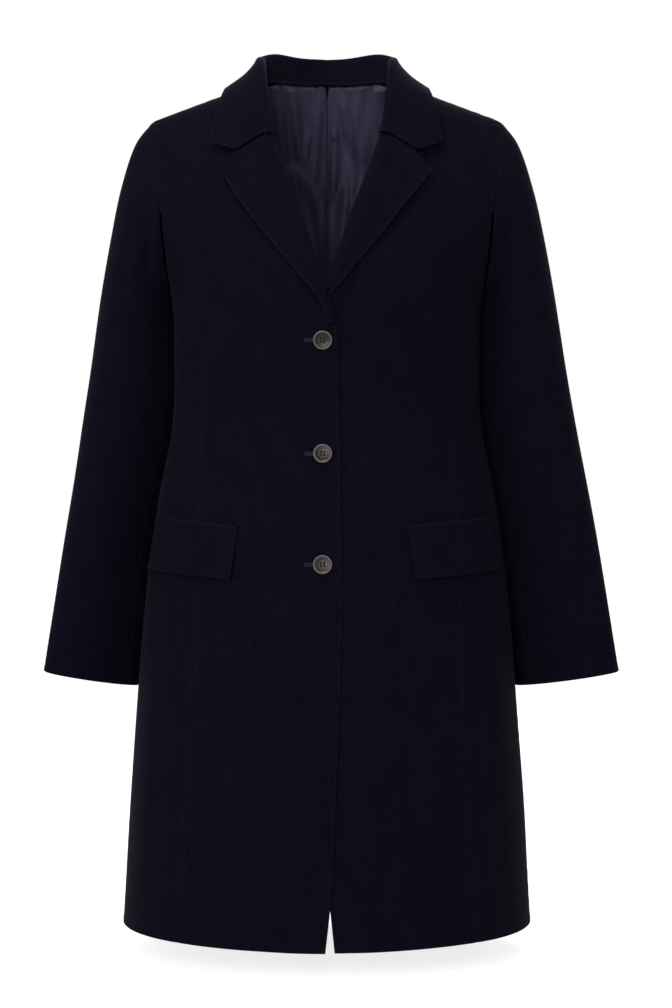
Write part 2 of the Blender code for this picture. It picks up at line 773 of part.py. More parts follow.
for k, row in enumerate(BUTTONS):
    sew_on(turned_button("button_%d" % (k + 1), horn), row.level, row.stand)
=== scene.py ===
import math
from collections import namedtuple

import bmesh
import bpy
import numpy as np
from mathutils import Matrix, Vector
from mathutils.bvhtree import BVHTree


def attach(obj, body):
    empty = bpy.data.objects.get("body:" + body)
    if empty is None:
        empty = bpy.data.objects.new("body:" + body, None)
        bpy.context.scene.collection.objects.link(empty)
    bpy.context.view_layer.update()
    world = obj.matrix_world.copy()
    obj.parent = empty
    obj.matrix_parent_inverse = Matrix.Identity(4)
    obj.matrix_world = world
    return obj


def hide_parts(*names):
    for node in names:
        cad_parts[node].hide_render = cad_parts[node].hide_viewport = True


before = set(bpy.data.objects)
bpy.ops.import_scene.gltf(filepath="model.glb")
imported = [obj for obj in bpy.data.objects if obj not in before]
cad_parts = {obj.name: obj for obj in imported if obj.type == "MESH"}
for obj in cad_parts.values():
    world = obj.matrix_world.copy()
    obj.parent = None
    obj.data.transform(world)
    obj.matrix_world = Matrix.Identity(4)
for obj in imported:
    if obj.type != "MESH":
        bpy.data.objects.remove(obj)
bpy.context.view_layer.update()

# The view: a level camera in front of the coat, a little over two and a half metres away,
# at half the coat's height.
CAMERA_PLACE = (0.010, -2.6, -0.467)
CAMERA_LENS = 84.04
CAMERA_FILM = 36.0
CAMERA_SEES_TO = 60.0

camera_data = bpy.data.cameras.new("camera")
camera_data.lens = CAMERA_LENS
camera_data.sensor_width = CAMERA_FILM
camera_data.clip_end = CAMERA_SEES_TO
camera = bpy.data.objects.new("camera", camera_data)
camera.location = CAMERA_PLACE
camera.rotation_euler = (math.pi / 2, 0.0, 0.0)
bpy.context.scene.collection.objects.link(camera)
bpy.context.scene.camera = camera
bpy.context.scene.view_settings.view_transform = "Standard"

# The studio: a wide white table, lit from within, just below the hem, an even white surround,
# and soft boxes in front of the coat, above it, behind it and to its sides.
FLOOR_LEVEL = -0.957
FLOOR_WIDTH = 60.0
FLOOR_WHITE = (0.26, 0.26, 0.26, 1.0)
FLOOR_GLOW = 0.80
SURROUND = 1.0
PURE_WHITE = (1.0, 1.0, 1.0, 1.0)

floor_bm = bmesh.new()
bmesh.ops.create_grid(floor_bm, x_segments=2, y_segments=2, size=FLOOR_WIDTH / 2)
bmesh.ops.translate(floor_bm, verts=list(floor_bm.verts), vec=(0.0, 0.0, FLOOR_LEVEL))
floor_mesh = bpy.data.meshes.new("studio_floor")
floor_bm.to_mesh(floor_mesh)
floor_bm.free()
floor_paint = bpy.data.materials.new("floor_white")
floor_paint.use_nodes = True
floor_shader = floor_paint.node_tree.nodes["Principled BSDF"]
floor_shader.inputs["Base Color"].default_value = FLOOR_WHITE
floor_shader.inputs["Roughness"].default_value = 0.8
floor_shader.inputs["Specular IOR Level"].default_value = 0.1
floor_shader.inputs["Emission Color"].default_value = PURE_WHITE
floor_shader.inputs["Emission Strength"].default_value = FLOOR_GLOW
floor_mesh.materials.append(floor_paint)
studio_floor = bpy.data.objects.new("studio_floor", floor_mesh)
bpy.context.scene.collection.objects.link(studio_floor)

surround = bpy.data.worlds.new("surround")
surround.use_nodes = True
surround.node_tree.nodes["Background"].inputs["Color"].default_value = PURE_WHITE
surround.node_tree.nodes["Background"].inputs["Strength"].default_value = SURROUND
bpy.context.scene.world = surround

SoftBox = namedtuple("SoftBox", "name place aim size watts")
SOFT_BOXES = (
    SoftBox("soft_box_front", (-0.55, -2.9, 0.10), (0.0, 0.0, -0.25), 1.3, 88.0),
    SoftBox("soft_box_left", (-1.9, -1.7, 0.4), (0.0, 0.0, -0.30), 1.2, 16.0),
    SoftBox("soft_box_above", (-0.5, -0.9, 1.80), (0.0, 0.0, -0.30), 0.9, 52.0),
    SoftBox("soft_box_right", (2.2, -1.6, 0.5), (0.0, 0.0, -0.40), 1.2, 4.0),
    SoftBox("soft_box_behind", (0.3, 2.2, 1.5), (0.0, 0.0, -0.40), 1.6, 70.0),
)
for soft_box in SOFT_BOXES:
    lamp = bpy.data.lights.new(soft_box.name, "AREA")
    lamp.size = soft_box.size
    lamp.energy = soft_box.watts
    lamp_object = bpy.data.objects.new(soft_box.name, lamp)
    lamp_object.location = soft_box.place
    facing = Vector(soft_box.aim) - Vector(soft_box.place)
    lamp_object.rotation_euler = facing.to_track_quat("-Z", "Y").to_euler()
    bpy.context.scene.collection.objects.link(lamp_object)

# The backs: two panels of brushed navy cotton cloth, cut from shoulder to hem and sewn
# together down the middle. The coat's own shape is given here too, as the other panels share it.
HEM = -0.9315
BACK_HEM_DROP = 0.012
SIDE_HEM_RISE = 0.007
UNDERARM = -0.237
UNDERARM_HALF = 0.172
NECK_HALF = 0.072
NECK_DIP = 0.0130
NECK_ROUND = 0.020
SHOULDER_HALF = 0.192
SHOULDER_DROP = 0.0445
SHOULDER_SLOPE = SHOULDER_DROP / (SHOULDER_HALF - NECK_HALF)
SHOULDER_REACH = 0.20
ARMHOLE_LEAN = (SHOULDER_HALF - UNDERARM_HALF) / (-UNDERARM - SHOULDER_DROP)
CHEST_RISE = 0.24
BACK_RISE = 0.08
RISE_POWER = 1.5
SECTION_ROUNDNESS = 2.3
LOWER_SHARE = 20 / 27
HEM_BEND = 6
# Panels reach past a seam by this angle round the body, so that no light shows through it.
SEAM_LAP = 0.0008

Section = namedtuple("Section", "level half_width front_depth back_depth")
BODY = (
    Section(HEM, 0.224, 0.170, 0.150),
    Section(-0.800, 0.217, 0.163, 0.146),
    Section(-0.660, 0.207, 0.154, 0.140),
    Section(-0.550, 0.197, 0.145, 0.131),
    Section(-0.460, 0.185, 0.134, 0.116),
    Section(-0.380, 0.170, 0.123, 0.101),
    Section(-0.310, 0.168, 0.129, 0.101),
    Section(UNDERARM, UNDERARM_HALF, 0.137, 0.111),
    Section(-0.150, 0.205, 0.132, 0.118),
    Section(-0.050, 0.228, 0.121, 0.119),
    Section(0.0, 0.236, 0.117, 0.117),
)


def ease(t):
    t = np.clip(t, 0.0, 1.0)
    return t * t * (3.0 - 2.0 * t)


def mix(a, b, t):
    return a + (b - a) * t


def smooth(rows, at, column):
    """A table's column at places between its rows, on a smooth curve. A row's first entry is its place."""
    place = np.array([row[0] for row in rows], float)
    value = np.array([getattr(row, column) for row in rows], float)
    last = len(place) - 1
    at = np.clip(at, place[0], place[last])
    k = np.clip(np.searchsorted(place, at, side="right") - 1, 0, last - 1)
    low = np.maximum(np.arange(last + 1) - 1, 0)
    high = np.minimum(np.arange(last + 1) + 1, last)
    slope = (value[high] - value[low]) / (place[high] - place[low])
    span = place[k + 1] - place[k]
    t = (at - place[k]) / span
    ahead = 3.0 * t**2 - 2.0 * t**3
    leave = (t - 2.0 * t**2 + t**3) * span
    arrive = (t**3 - t**2) * span
    return value[k] + (value[k + 1] - value[k]) * ahead + slope[k] * leave + slope[k + 1] * arrive


def shoulder_share(level):
    return ease((level + SHOULDER_REACH) / SHOULDER_REACH)


def shoulder_round(level, rise):
    """How much of its depth the body keeps this near the shoulder line."""
    return np.sqrt(1.0 - (1.0 - np.clip(-level / rise, 0.0, 1.0)) ** RISE_POWER)


def angle_at(x, level, back=False):
    """The angle round the body, from the centre front, of a place this far across."""
    half = smooth(BODY, level, "half_width")
    depth = np.where(back, smooth(BODY, level, "back_depth"), smooth(BODY, level, "front_depth"))
    across = np.minimum(np.abs(x) / half, 1.0)
    away = depth * (1.0 - across**SECTION_ROUNDNESS) ** (1.0 / SECTION_ROUNDNESS)
    return np.copysign(np.arctan2(np.abs(x), np.where(back, -away, away)), x)


def body_point(angle, level):
    """The cloth's outer face at an angle round the body and a level below the shoulder line."""
    back = np.abs(angle) > math.pi / 2
    half = smooth(BODY, level, "half_width")
    depth = np.where(back, smooth(BODY, level, "back_depth"), smooth(BODY, level, "front_depth"))
    across, ahead = np.sin(angle), np.cos(angle)
    power = SECTION_ROUNDNESS
    reach = (np.abs(across / half) ** power + np.abs(ahead / depth) ** power) ** (-1.0 / power)
    x = reach * across
    y = -reach * ahead * shoulder_round(level, np.where(back, BACK_RISE, CHEST_RISE))
    z = level - shoulder_share(level) * SHOULDER_SLOPE * (np.hypot(x, NECK_ROUND) - NECK_HALF)
    hem_curve = SIDE_HEM_RISE * across**2 - BACK_HEM_DROP * np.maximum(0.0, -ahead) ** 2
    z = z + hem_curve * (level / HEM) ** HEM_BEND
    return np.stack((x, y, z), -1)


def armhole_x(level):
    """How far across the armhole's plane lies at a level."""
    slope = ARMHOLE_LEAN * shoulder_share(level) * SHOULDER_SLOPE
    height = level + shoulder_share(level) * SHOULDER_SLOPE * NECK_HALF + SHOULDER_DROP
    return (SHOULDER_HALF + ARMHOLE_LEAN * height) / (1.0 + slope)


def back_level(v):
    low = mix(HEM, UNDERARM, v / LOWER_SHARE)
    high = UNDERARM * (1.0 - (v - LOWER_SHARE) / (1.0 - LOWER_SHARE)) ** 2
    return np.where(v <= LOWER_SHARE, low, high)


def back_point(angle, level):
    """The back's outer face. Near the top its rows dip to the neckline."""
    x = body_point(angle, level)[..., 0]
    dip = -NECK_DIP * np.maximum(0.0, 1.0 - (x / NECK_HALF) ** 2) ** 2
    return body_point(angle, level + shoulder_share(level) * dip)


def back_surface(u, v):
    level = back_level(v)
    at_armhole = angle_at(armhole_x(np.maximum(level, UNDERARM)), np.maximum(level, UNDERARM), back=True)
    start = np.where(level <= UNDERARM, math.pi / 2 - SEAM_LAP, at_armhole)
    return back_point(mix(start, math.pi + SEAM_LAP, u), level)


FOLD_TAPER = 3.0
SLACK_WAVES = 7
SLACK_SIZES = (0.6, 1.7)
SLACK_UPRIGHT = 0.45
SLACK_PEAK = 2.6
ANY_PHASE = (0.0, 6.28)


def soft_fold(a, b, path, width, lift):
    """A fold of cloth along a path of (a, b) places: a ridge, or a trough where lift is below nothing."""
    spots = np.array(path, float)
    lengths = np.linalg.norm(np.diff(spots, axis=0), axis=1)
    nearest = np.full(np.shape(a), np.inf)
    share = np.zeros(np.shape(a))
    before = 0.0
    for start, end, length in zip(spots, spots[1:], lengths):
        along = ((a - start[0]) * (end[0] - start[0]) + (b - start[1]) * (end[1] - start[1])) / length**2
        along = np.clip(along, 0.0, 1.0)
        off = np.hypot(a - mix(start[0], end[0], along), b - mix(start[1], end[1], along))
        share = np.where(off < nearest, (before + along * length) / lengths.sum(), share)
        nearest = np.minimum(off, nearest)
        before += length
    tapered = ease(FOLD_TAPER * share) * ease(FOLD_TAPER * (1.0 - share))
    return lift * np.exp(-((nearest / width) ** 2)) * tapered


def slack(a, b, size, lift, seed):
    """Shallow unevenness of hanging cloth, in waves of about one size across a piece."""
    pick = np.random.default_rng(seed)
    waves = np.zeros(np.shape(a))
    for _ in range(SLACK_WAVES):
        turn = pick.uniform(0.0, math.pi)
        length = size * pick.uniform(*SLACK_SIZES)
        across = a * math.cos(turn) + SLACK_UPRIGHT * b * math.sin(turn)
        waves = waves + np.sin(2.0 * math.pi * across / length + pick.uniform(*ANY_PHASE))
    return lift * waves / SLACK_PEAK


SEAM_GAP = 0.00005
SEAM_SINK = 0.0009
SEAM_WIDTH = 0.0022
# How strong the highlight painted in a line beside each seam is.
SEAM_PAINTED_HIGHLIGHT = 0.16
# How wide the shade painted in a seam's groove is.
SEAM_SHADE = 0.0009
PUCKER_LIFT = 0.00014
PUCKER_REACH = 0.009
PUCKER_WAVES = 4
PUCKER_SIZES = (0.008, 0.021)
EDGE_ROUND = 0.0016
EDGE_TUCK = 0.8
# How wide the highlights painted along edges and beside seams are.
PAINTED_HIGHLIGHT_WIDTH = 0.0013
# How strong a highlight is painted along a hem's edge.
HEM_PAINTED_HIGHLIGHT = {"low": 0.4}
TURNED_IN = 0.0075
TURNED_LIFT = 0.00022
TURNED_STEP = 0.0025
HELD_BY_SEAM = 0.018
SEWN_FADE = 0.03
NARROWEST = 0.004
ACROSS_EASED = 0.92
UP_EASED = 0.75
SHARP_FOLD = math.radians(55)
WEAVE_SHIFT = np.array((0.37, 0.61))
WEAVE_SHIFTS = 23
SIDES_OF_PIECE = ("start", "end", "low", "top")
Cut = namedtuple("Cut", "points across up pressed seamed area width height")


def lengths_of(points, axis):
    """How far each point of a grid lies along its row or column, in metres, and the whole length."""
    steps = np.linalg.norm(np.diff(points, axis=axis), axis=-1)
    far = np.concatenate((np.zeros_like(np.take(steps, [0], axis)), np.cumsum(steps, axis)), axis)
    return far, np.maximum(np.take(far, [-1], axis), 1e-6)


def facing_of(points):
    """The outward direction at each point of a grid."""
    out = np.cross(np.gradient(points, axis=1), np.gradient(points, axis=0))
    return out / np.maximum(np.linalg.norm(out, axis=-1, keepdims=True), 1e-12)


def pucker(along, away, seed):
    """The ripple that a seam draws into the cloth beside it."""
    pick = np.random.default_rng(seed)
    ripple = np.zeros(np.shape(along))
    for _ in range(PUCKER_WAVES):
        length = pick.uniform(*PUCKER_SIZES)
        ripple = ripple + np.sin(2.0 * math.pi * along / length + pick.uniform(*ANY_PHASE))
    return PUCKER_LIFT * ripple * np.exp(-away / PUCKER_REACH)


def crowded(count, share):
    """Places from 0 to 1 that lie closer together towards both ends."""
    even = np.linspace(0.0, 1.0, count)
    return mix(even, ease(even), share)


def cut_cloth(
    surface, columns, rows, free, lifted=None, seed=1,
    sewn=None, painted_edge_highlight=None, sunk=None, held_over=HELD_BY_SEAM,
):
    """Lays a grid of points over a surface. Seamed edges sink a little, free edges are rounded.

    A free edge that is in sewn is still seamed up to that share of its length. A highlight is painted
    along each free edge, as strong as one dictionary gives, and in a line beside each seam, and a shade is
    painted in each seam's groove. sunk holds how deep a seam lies if it isn't the usual depth.
    A seam keeps the cloth from folding as far as held_over."""
    u, v = np.meshgrid(crowded(columns + 1, ACROSS_EASED), crowded(rows + 1, UP_EASED))
    _, width = lengths_of(surface(u, v), 1)
    _, height = lengths_of(surface(u, v), 0)
    beside = 0.5 * SEAM_GAP / np.maximum(width, NARROWEST)
    below = 0.5 * SEAM_GAP / np.maximum(height, NARROWEST)
    u = mix(beside, 1.0 - beside, u)
    v = mix(below, 1.0 - below, v)
    points = surface(u, v)
    across, width = lengths_of(points, 1)
    up, height = lengths_of(points, 0)
    away = {"start": across, "end": width - across, "low": up, "top": height - up}
    lift = np.zeros(u.shape)
    pressed = np.zeros(u.shape)
    seamed = np.zeros(u.shape)
    held = np.ones(u.shape)
    for k, edge in enumerate(SIDES_OF_PIECE):
        along, share = (up, v) if edge in ("start", "end") else (across, u)
        loose = np.zeros(u.shape)
        if edge in free:
            loose = ease((share - (sewn or {}).get(edge, -1.0)) / SEWN_FADE)
        near = 1.0 - np.clip(away[edge] / EDGE_ROUND, 0.0, 1.0)
        turned = TURNED_LIFT * ease((TURNED_IN - away[edge]) / TURNED_STEP)
        lift += loose * (turned - EDGE_TUCK * EDGE_ROUND * (1.0 - np.sqrt(1.0 - near**2)))
        dip = (sunk or {}).get(edge, SEAM_SINK) * np.exp(-((away[edge] / SEAM_WIDTH) ** 2))
        lift += (1.0 - loose) * (pucker(along, away[edge], 10 * seed + k) - dip)
        # Painted highlight: pale along free edges and in a line beside each seam. Painted shade: dark in
        # each seam's groove.
        pale = loose * (painted_edge_highlight or {}).get(edge, 0.0) * np.exp(-((away[edge] / PAINTED_HIGHLIGHT_WIDTH) ** 2))
        seam_highlight = SEAM_PAINTED_HIGHLIGHT * (1.0 - loose) * np.exp(-(((away[edge] - SEAM_WIDTH) / PAINTED_HIGHLIGHT_WIDTH) ** 2))
        pressed = np.maximum(pressed, np.maximum(pale, seam_highlight))
        seamed = np.maximum(seamed, (1.0 - loose) * np.exp(-((away[edge] / SEAM_SHADE) ** 2)))
        held *= mix(ease(away[edge] / held_over), 1.0, loose)
    if lifted:
        lift += lifted(points, u, v) * held
    crossing = np.cross(np.diff(points[:-1], axis=1), np.diff(points[:, :-1], axis=0))
    area = float(np.linalg.norm(crossing, axis=-1).sum())
    lifted_points = points + facing_of(points) * lift[..., None]
    return Cut(lifted_points, across, up, pressed, seamed, area, float(width.max()), float(height.max()))


def put_on_coat(name, mesh, finish, sharp_from=None):
    """Makes a mesh a piece of the coat, in its finish and smooth but for folds sharper than an angle."""
    mesh.materials.append(finish)
    mesh.shade_smooth()
    if sharp_from:
        mesh.set_sharp_from_angle(angle=sharp_from)
    piece = bpy.data.objects.new(name, mesh)
    bpy.context.scene.collection.objects.link(piece)
    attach(piece, "root")
    return piece


def sew(name, cut, wall, finish, side="left", flatten=None):
    """Makes a cut grid a closed wall of cloth, on its own side of the coat."""
    rows, columns = cut.points.shape[0] - 1, cut.points.shape[1] - 1
    points = cut.points
    outward = facing_of(points)
    if flatten:
        outward = flatten(outward, points)
    layers = np.stack((points, points - outward * wall))
    flat = np.stack((cut.across, cut.up), -1)
    # The painted highlight and the painted seam shade go onto the mesh as attributes.
    marks = {"pressed": cut.pressed, "seamed": cut.seamed}
    if side == "right":
        layers = layers[:, :, ::-1] * np.array((-1.0, 1.0, 1.0))
        flat = flat[:, ::-1]
        marks = {label: mark[:, ::-1] for label, mark in marks.items()}
    bm = bmesh.new()
    bmesh.ops.create_grid(bm, x_segments=columns, y_segments=rows, size=0.5)
    outer_count = len(bm.verts)
    bmesh.ops.extrude_face_region(bm, geom=list(bm.faces))
    bm.verts.index_update()
    places = np.array([vert.co[:2] for vert in bm.verts]) + 0.5
    column = np.rint(places[:, 0] * columns).astype(int)
    row = np.rint(places[:, 1] * rows).astype(int)
    layer = (np.arange(len(places)) >= outer_count).astype(int)
    for vert, place in zip(bm.verts, layers[layer, row, column]):
        vert.co = place
    bmesh.ops.recalc_face_normals(bm, faces=list(bm.faces))
    mesh = bpy.data.meshes.new(name)
    bm.to_mesh(mesh)
    bm.free()
    corner = np.empty(len(mesh.loops), int)
    mesh.loops.foreach_get("vertex_index", corner)
    shift = WEAVE_SHIFT * (1 + sum(map(ord, name)) % WEAVE_SHIFTS)
    mesh.uv_layers.new(name="cut").data.foreach_set("uv", (flat[row, column] + shift)[corner].ravel())
    for label, mark in marks.items():
        mesh.attributes.new(label, "FLOAT", "POINT").data.foreach_set("value", mark[row, column])
    return put_on_coat(name, mesh, finish, SHARP_FOLD)


# A mix node's colour sockets, which share their names with its other sockets.
MIX_UNDER = 6
MIX_OVER = 7
MIXED = 2


def new_finish(name, look):
    """A material whose shader has this look.

    It comes with ways to add a node, to lay a colour over another one and to join nodes."""
    made = bpy.data.materials.new(name)
    made.use_nodes = True
    tree = made.node_tree
    shader = tree.nodes["Principled BSDF"]
    for label, value in look.items():
        shader.inputs[label].default_value = value

    def add(kind, inputs=None, **settings):
        node = tree.nodes.new(kind)
        for label, value in settings.items():
            setattr(node, label, value)
        for label, value in (inputs or {}).items():
            node.inputs[label].default_value = value
        return node

    def blend(over, under=None):
        colours = {MIX_OVER: over} if under is None else {MIX_UNDER: under, MIX_OVER: over}
        return add("ShaderNodeMix", colours, data_type="RGBA")

    def join(*links):
        for start, end in links:
            tree.links.new(start, end)

    return made, shader, add, blend, join


# Fibre: a group shared by the cloths, with a fine grain drawn out along the cloth's length,
# a mottle a few times as coarse, and wide clouds of tone. It reads a place on the cloth in metres.
fibre = bpy.data.node_groups.new("fibre", "ShaderNodeTree")
for label, kind, way in (
    ("Place", "NodeSocketVector", "INPUT"),
    ("Stretch", "NodeSocketFloat", "INPUT"),
    ("Grain per metre", "NodeSocketFloat", "INPUT"),
    ("Mottle per metre", "NodeSocketFloat", "INPUT"),
    ("Clouds per metre", "NodeSocketFloat", "INPUT"),
    ("Grain", "NodeSocketFloat", "OUTPUT"),
    ("Mottle", "NodeSocketFloat", "OUTPUT"),
    ("Clouds", "NodeSocketFloat", "OUTPUT"),
):
    fibre.interface.new_socket(label, in_out=way, socket_type=kind)
fibre_in = fibre.nodes.new("NodeGroupInput")
fibre_out = fibre.nodes.new("NodeGroupOutput")
drawn = fibre.nodes.new("ShaderNodeCombineXYZ")
drawn.inputs["X"].default_value = 1.0
drawn.inputs["Z"].default_value = 1.0
lengthwise = fibre.nodes.new("ShaderNodeVectorMath")
lengthwise.operation = "MULTIPLY"
fibre.links.new(fibre_in.outputs["Stretch"], drawn.inputs["Y"])
fibre.links.new(fibre_in.outputs["Place"], lengthwise.inputs[0])
fibre.links.new(drawn.outputs["Vector"], lengthwise.inputs[1])
for label, detail in (("Grain", 3.0), ("Mottle", 4.0), ("Clouds", 5.0)):
    noise = fibre.nodes.new("ShaderNodeTexNoise")
    noise.inputs["Detail"].default_value = detail
    noise.inputs["Roughness"].default_value = 0.62
    fibre.links.new(lengthwise.outputs["Vector"], noise.inputs["Vector"])
    fibre.links.new(fibre_in.outputs[label + " per metre"], noise.inputs["Scale"])
    fibre.links.new(noise.outputs["Fac"], fibre_out.inputs[label])

# Brushed navy cloth: dark yarn under a short lighter nap, with a highlight painted along its pressed
# edges and beside its seams, and a shade painted in its seams.
NAVY_DEEP = (0.0003, 0.0003, 0.0012, 1.0)
NAVY_NAP = (0.0020, 0.0020, 0.0054, 1.0)
NAVY_PAINTED_HIGHLIGHT = (0.0090, 0.0086, 0.0150, 1.0)
GRAIN_SHARE = 0.44
MOTTLE_SHARE = 0.36
CLOUD_SHARE = 0.20
SEAM_PAINTED_SHADE_SHARE = 0.35
navy_cloth, shader, add, blend, join = new_finish("navy_brushed_cloth", {
    "Roughness": 0.95,
    "Specular IOR Level": 0.02,
    "Sheen Weight": 0.006,
    "Sheen Roughness": 0.45,
    "Sheen Tint": (0.62, 0.64, 0.95, 1.0),
})
place = add("ShaderNodeUVMap", uv_map="cut")
nap_sizes = {
    "Stretch": 0.55,
    "Grain per metre": 1500.0,
    "Mottle per metre": 330.0,
    "Clouds per metre": 38.0,
}
nap = add("ShaderNodeGroup", nap_sizes, node_tree=fibre)
fine = add("ShaderNodeMath", {1: GRAIN_SHARE}, operation="MULTIPLY")
coarse = add("ShaderNodeMath", {1: MOTTLE_SHARE}, operation="MULTIPLY_ADD")
wide = add("ShaderNodeMath", {1: CLOUD_SHARE}, operation="MULTIPLY_ADD")
ramp = add("ShaderNodeMapRange", {"From Min": 0.33, "From Max": 0.67})
navy = blend(NAVY_NAP, NAVY_DEEP)
# Painted highlight along pressed edges and beside seams, broken up by the mottle.
painted_highlight_mark = add("ShaderNodeAttribute", attribute_name="pressed")
mottled_painted_highlight = add("ShaderNodeMath", operation="MULTIPLY")
pale = blend(NAVY_PAINTED_HIGHLIGHT)
# Painted shade in the seam grooves.
seam_shade_mark = add("ShaderNodeAttribute", attribute_name="seamed")
seam_shade = add("ShaderNodeMath", {1: SEAM_PAINTED_SHADE_SHARE}, operation="MULTIPLY")
shaded = blend(NAVY_DEEP)
bump = add("ShaderNodeBump", {"Strength": 0.6, "Distance": 0.0005})
join(
    (place.outputs["UV"], nap.inputs["Place"]),
    (nap.outputs["Grain"], fine.inputs[0]),
    (nap.outputs["Mottle"], coarse.inputs[0]),
    (fine.outputs["Value"], coarse.inputs[2]),
    (nap.outputs["Clouds"], wide.inputs[0]),
    (coarse.outputs["Value"], wide.inputs[2]),
    (wide.outputs["Value"], ramp.inputs["Value"]),
    (ramp.outputs["Result"], navy.inputs["Factor"]),
    (painted_highlight_mark.outputs["Fac"], mottled_painted_highlight.inputs[0]),
    (nap.outputs["Mottle"], mottled_painted_highlight.inputs[1]),
    (mottled_painted_highlight.outputs["Value"], pale.inputs["Factor"]),
    (navy.outputs[MIXED], pale.inputs[MIX_UNDER]),
    (pale.outputs[MIXED], shaded.inputs[MIX_UNDER]),
    (seam_shade_mark.outputs["Fac"], seam_shade.inputs[0]),
    (seam_shade.outputs["Value"], shaded.inputs["Factor"]),
    (shaded.outputs[MIXED], shader.inputs["Base Color"]),
    (coarse.outputs["Value"], bump.inputs["Height"]),
    (bump.outputs["Normal"], shader.inputs["Normal"]),
)

CLOTH_WALL = 0.002
CLOTH_SLACK = 0.0004
CLOTH_SLACK_SIZE = 0.11
BACK_COLUMNS = 64
BACK_ROWS = 200
Fold = namedtuple("Fold", "path width lift")
BACK_FOLDS = {
    "right": (
        Fold(((0.020, -0.345), (0.075, -0.415), (0.105, -0.520)), 0.013, 0.0016),
        Fold(((0.055, -0.360), (0.118, -0.405)), 0.010, -0.0012),
        Fold(((0.070, -0.560), (0.082, -0.720), (0.090, -0.900)), 0.022, 0.0026),
        Fold(((0.135, -0.600), (0.150, -0.760), (0.158, -0.910)), 0.016, -0.0020),
        Fold(((0.110, -0.080), (0.135, -0.150)), 0.012, 0.0012),
    ),
    "left": (
        Fold(((0.030, -0.360), (0.082, -0.430), (0.098, -0.505)), 0.012, 0.0014),
        Fold(((0.048, -0.385), (0.125, -0.420)), 0.011, -0.0014),
        Fold(((0.062, -0.590), (0.070, -0.740), (0.066, -0.905)), 0.020, 0.0024),
        Fold(((0.120, -0.570), (0.142, -0.730), (0.160, -0.905)), 0.018, -0.0022),
        Fold(((0.118, -0.070), (0.140, -0.165)), 0.012, 0.0010),
    ),
}


def folded(folds, seed):
    """The lift that a list of folds, and the cloth's own slack, give a piece that hangs in view."""

    def lifted(points, u, v):
        x, z = points[..., 0], points[..., 2]
        lift = slack(x, z, CLOTH_SLACK_SIZE, CLOTH_SLACK, seed)
        for fold in folds:
            lift = lift + soft_fold(x, z, fold.path, fold.width, fold.lift)
        return lift

    return lifted


pieces = {}
for k, side in enumerate(("right", "left")):
    cut = cut_cloth(
        back_surface, BACK_COLUMNS, BACK_ROWS, ("low",), folded(BACK_FOLDS[side], seed=3 + k), seed=5 + k,
        painted_edge_highlight=HEM_PAINTED_HIGHLIGHT,
    )
    back = sew("back_panel_" + side, cut, CLOTH_WALL, navy_cloth, side)
    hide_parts("back_" + side)
    pieces["back_" + side] = back

# The back lining: a loose satin lining in two halves with a seam down the middle,
# eased into the neck seam so that it falls in small gathers.
LINING_WALL = 0.001
LINING_CLEARANCE = 0.0034
LINING_SEAT = 0.0001
LINING_SEAT_FROM = 0.88
LINING_SEAT_FADE = 0.025
LINING_SEAM_DIP = -0.0008
LINING_HELD = 0.006
LINING_HEM = HEM + 0.025
LINING_SIDE = math.radians(97)
LINING_FROM_ARMHOLE = math.radians(9)
LINING_COLUMNS = 96
LINING_ROWS = 170
LINING_CROWDED = 1.5
LINING_FOLDS = {
    "right": (
        Fold(((0.0440, 0.020), (0.0400, -0.012), (0.0345, -0.045), (0.0300, -0.085)), 0.0055, 0.0052),
        Fold(((0.0205, -0.028), (0.0235, -0.050), (0.0265, -0.085)), 0.0042, 0.0036),
        Fold(((0.0600, 0.010), (0.0560, -0.030), (0.0470, -0.090)), 0.0060, 0.0046),
        Fold(((0.0100, 0.006), (0.0120, -0.040), (0.0170, -0.110)), 0.0050, 0.0030),
        Fold(((0.0300, -0.090), (0.0200, -0.140), (0.0090, -0.210)), 0.0075, 0.0040),
        Fold(((0.0420, -0.070), (0.0330, -0.130), (0.0200, -0.190)), 0.0060, 0.0032),
        Fold(((0.0030, -0.105), (0.0170, -0.112)), 0.0030, 0.0018),
    ),
    "left": (
        Fold(((0.0575, 0.014), (0.0600, -0.010), (0.0640, -0.045)), 0.0050, 0.0048),
        Fold(((0.0170, 0.004), (0.0205, -0.020), (0.0260, -0.055)), 0.0042, 0.0038),
        Fold(((0.0330, 0.010), (0.0350, -0.035), (0.0400, -0.095)), 0.0065, 0.0046),
        Fold(((0.0080, -0.010), (0.0090, -0.060), (0.0060, -0.130)), 0.0045, 0.0030),
        Fold(((0.0480, -0.010), (0.0420, -0.080), (0.0300, -0.150)), 0.0070, 0.0042),
        Fold(((0.0240, -0.080), (0.0190, -0.140), (0.0120, -0.220)), 0.0065, 0.0036),
        Fold(((0.0020, -0.038), (0.0140, -0.046)), 0.0030, 0.0016),
    ),
}
GATHER_LIFT = 0.0016
GATHER_REACH = 0.018
GATHER_SIZE = 0.0085
GATHER_UPRIGHT = 0.12
NECK_SEAM_TOP = 0.020
NECK_SEAM_SLOPE = 0.2
LINING_LOOSE = 0.0012
LINING_SLACK = 0.0009
LINING_SLACK_SIZE = 0.040
LINING_UPRIGHT = 1.6
FOLD_DEPTH = 1.7
FOLD_SPREAD = 1.05


def lining_place(u, v):
    level = mix(LINING_HEM, 0.0, 1.0 - (1.0 - v) ** LINING_CROWDED)
    at_armhole = angle_at(armhole_x(level), level, back=True) + LINING_FROM_ARMHOLE
    side_angle = np.where(level > UNDERARM, np.maximum(LINING_SIDE, at_armhole), LINING_SIDE)
    return back_point(mix(side_angle, math.pi + SEAM_LAP, u), level), level


